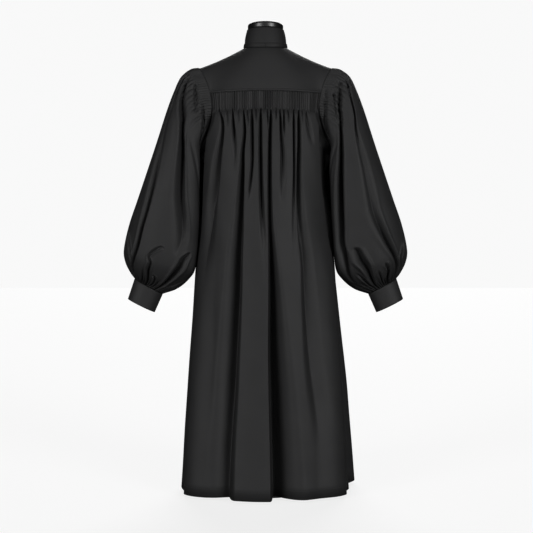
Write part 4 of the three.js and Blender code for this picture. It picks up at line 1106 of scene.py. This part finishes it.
def stitchTree():
    tree = bpy.data.node_groups.new("stitchRow", "GeometryNodeTree")
    for name, kind in stitchInputs.items():
        tree.interface.new_socket(name=name, in_out="INPUT", socket_type=f"NodeSocket{kind}")
    tree.interface.new_socket(name="Geometry", in_out="OUTPUT", socket_type="NodeSocketGeometry")
    given, result = addNode(tree, "NodeGroupInput"), addNode(tree, "NodeGroupOutput")
    curve = addNode(tree, "GeometryNodeMeshToCurve")
    spaced = addNode(tree, "GeometryNodeResampleCurve", mode="LENGTH")
    thread = addNode(tree, "GeometryNodeMeshUVSphere", {"Segments": 6, "Rings": 4, "Radius": 0.5})
    turn = addNode(tree, "FunctionNodeAlignRotationToVector", axis="X")
    tangent = addNode(tree, "GeometryNodeInputTangent")
    size = addNode(tree, "ShaderNodeCombineXYZ")
    uneven = addNode(tree, "FunctionNodeRandomValue", data_type="FLOAT")
    least = addNode(tree, "ShaderNodeMath", {0: 1}, operation="SUBTRACT")
    most = addNode(tree, "ShaderNodeMath", {0: 1}, operation="ADD")
    sized = addNode(tree, "ShaderNodeVectorMath", operation="SCALE")
    placed = addNode(tree, "GeometryNodeInstanceOnPoints")
    real = addNode(tree, "GeometryNodeRealizeInstances")
    dressed = addNode(tree, "GeometryNodeSetMaterial")
    wire(
        tree,
        ((given, "Geometry"), (curve, "Mesh")),
        ((curve, "Curve"), (spaced, "Curve")),
        ((given, "Pitch"), (spaced, "Length")),
        ((tangent, "Tangent"), (turn, "Vector")),
        ((given, "Length"), (size, "X")),
        ((given, "Thickness"), (size, "Y")),
        ((given, "Thickness"), (size, "Z")),
        ((given, "Wander"), (least, 1)),
        ((given, "Wander"), (most, 1)),
        ((least, 0), (uneven, 2)),
        ((most, 0), (uneven, 3)),
        ((given, "Seed"), (uneven, "Seed")),
        ((size, "Vector"), (sized, 0)),
        ((uneven, 1), (sized, "Scale")),
        ((spaced, "Curve"), (placed, "Points")),
        ((thread, "Mesh"), (placed, "Instance")),
        ((turn, "Rotation"), (placed, "Rotation")),
        ((sized, "Vector"), (placed, "Scale")),
        ((placed, "Instances"), (real, "Geometry")),
        ((real, "Geometry"), (dressed, "Geometry")),
        ((given, "Thread"), (dressed, "Material")),
        ((dressed, "Geometry"), (result, "Geometry")),
    )
    return tree


def makeStitches():
    vertices, edges = [], []
    for line in stitchLines():
        edges += [(len(vertices) + k, len(vertices) + k + 1) for k in range(len(line) - 1)]
        vertices += (line * mm).tolist()
    mesh = bpy.data.meshes.new("stitchGuide")
    mesh.from_pydata(vertices, edges, [])
    guide = bpy.data.objects.new("stitches", mesh)
    bpy.context.collection.objects.link(guide)
    modifier = guide.modifiers.new("stitchRow", "NODES")
    modifier.node_group = stitchTree()
    values = {
        "Pitch": stitch["pitch"] * mm,
        "Length": stitch["length"] * mm,
        "Thickness": stitch["thickness"] * mm,
        "Wander": stitch["wander"],
        "Seed": stitch["seed"],
        "Thread": threadCloth,
    }
    for socket in modifier.node_group.interface.items_tree:
        if socket.in_out == "INPUT" and socket.name in values:
            modifier[socket.identifier] = values[socket.name]
    ready = guide.evaluated_get(bpy.context.evaluated_depsgraph_get())
    made = bpy.data.meshes.new_from_object(ready)
    guide.modifiers.clear()
    guide.data = made
    made.shade_smooth()
    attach(guide, "root")


makeStitches()
print("stitches made")

# The dress form
form = {
    "inset": 1.9,  # how far it lies under the robe's outside
    "neckTop": 1377,
    "halfWidth": 55.5,
    "middleY": -10,
    "halfDepth": 54,
    "bulge": 1.5,
    "shoulderStart": 0.06,  # shares of the way from the neckline to the yoke's edge
    "shoulderEnd": 0.86,
    "armholeDepth": 102,
    "columns": 145,
    "neckRows": 15,
    "shoulderRows": 22,
    "trunkRows": 40,
}
trunkSections = {
    "height": [1140, 1085, 1000, 925, 830, 740, 650],
    "halfWidth": [164, 156, 138, 122, 146, 160, 150],
    "back": [92, 90, 84, 80, 98, 106, 98],
    "front": [94, 106, 98, 84, 90, 94, 88],
}


def formRows():
    angles = np.linspace(0, 360, form["columns"])
    turn = np.radians(angles)
    out = points(np.cos(turn), np.sin(turn), 0)
    inset = form["inset"]
    low = necklinePoint(angles) - out * (inset + neckBand["lean"])
    low[:, 2] += robe["seam"] + neckBand["height"]
    top = points(form["halfWidth"] * np.cos(turn), form["halfDepth"] * np.sin(turn), 0)
    top += points(0, form["middleY"], form["neckTop"])
    rows = []
    for share in np.linspace(1, 0, form["neckRows"]):
        rows.append(mix(low, top, share) + out * form["bulge"] * math.sin(share * math.pi))
    both = yokeNormal(angles, 0) + out
    rows.append(necklinePoint(angles) - both * 2 * inset / (both**2).sum(axis=-1, keepdims=True))
    for share in np.linspace(form["shoulderStart"], form["shoulderEnd"], form["shoulderRows"]):
        rows.append(yokeSurface(angles, share) - yokeNormal(angles, share) * inset)
    edge = yokeEdge(angles)
    turn = np.arctan2(edge[:, 1] / form["armholeDepth"], edge[:, 0] / armhole["x"])
    keys, *sections = (values[::-1] for values in trunkSections.values())
    for height in np.linspace(keys[-1], keys[0], form["trunkRows"]):
        halfWidth, back, front = (smoothRead(keys, values, height) for values in sections)
        halfDepth = np.where(turn > 0, back, front)
        rows.append(points(halfWidth * np.cos(turn), halfDepth * np.sin(turn), height))
    return np.array(rows)


def closedForm(name, rows):
    thing = gridMesh(name, rows, closed=True)
    mesh = thing.data
    count = rows.shape[1] - 1
    last = len(mesh.vertices) - count
    shape = bmesh.new()
    shape.from_mesh(mesh)
    shape.verts.ensure_lookup_table()
    shape.faces.new([shape.verts[i] for i in range(count)])
    shape.faces.new([shape.verts[last + i] for i in range(count)])
    bmesh.ops.recalc_face_normals(shape, faces=shape.faces)
    shape.to_mesh(mesh)
    shape.free()
    mesh.shade_smooth()
    return thing


formPiece = closedForm("formTorso", formRows())
finishPiece(formPiece, formJersey, "form_torso")

cap = {"bottom": 1377.3, "top": 1398, "radius": 53, "edge": 7, "crown": 2, "middleY": -10}


def capRows():
    turn = np.radians(np.linspace(0, 360, 97))
    radius, edge, bottom = cap["radius"], cap["edge"], cap["bottom"]
    shoulder = cap["top"] - cap["crown"]
    section = [(radius - 1.2, bottom), (radius, bottom + 1)]
    section += [(radius, height) for height in np.linspace(bottom + 3, shoulder - edge, 5)]
    for t in np.linspace(0, math.pi / 2, 9)[1:]:
        section.append((radius - edge * (1 - math.cos(t)), shoulder - edge * (1 - math.sin(t))))
    for s in np.linspace(0.1, 0.97, 12):
        section.append(((radius - edge) * (1 - s), cap["top"] - cap["crown"] * (1 - s) ** 2))
    return np.array([
        points(r * np.cos(turn), cap["middleY"] + r * np.sin(turn), z) for r, z in section
    ])


capPiece = closedForm("neckCap", capRows())
finishPiece(capPiece, capGloss, "neck_cap")

for node in ("pole", "base"):
    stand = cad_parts[node]
    stand.data.materials.clear()
    stand.data.materials.append(standPaint)
print("form made")
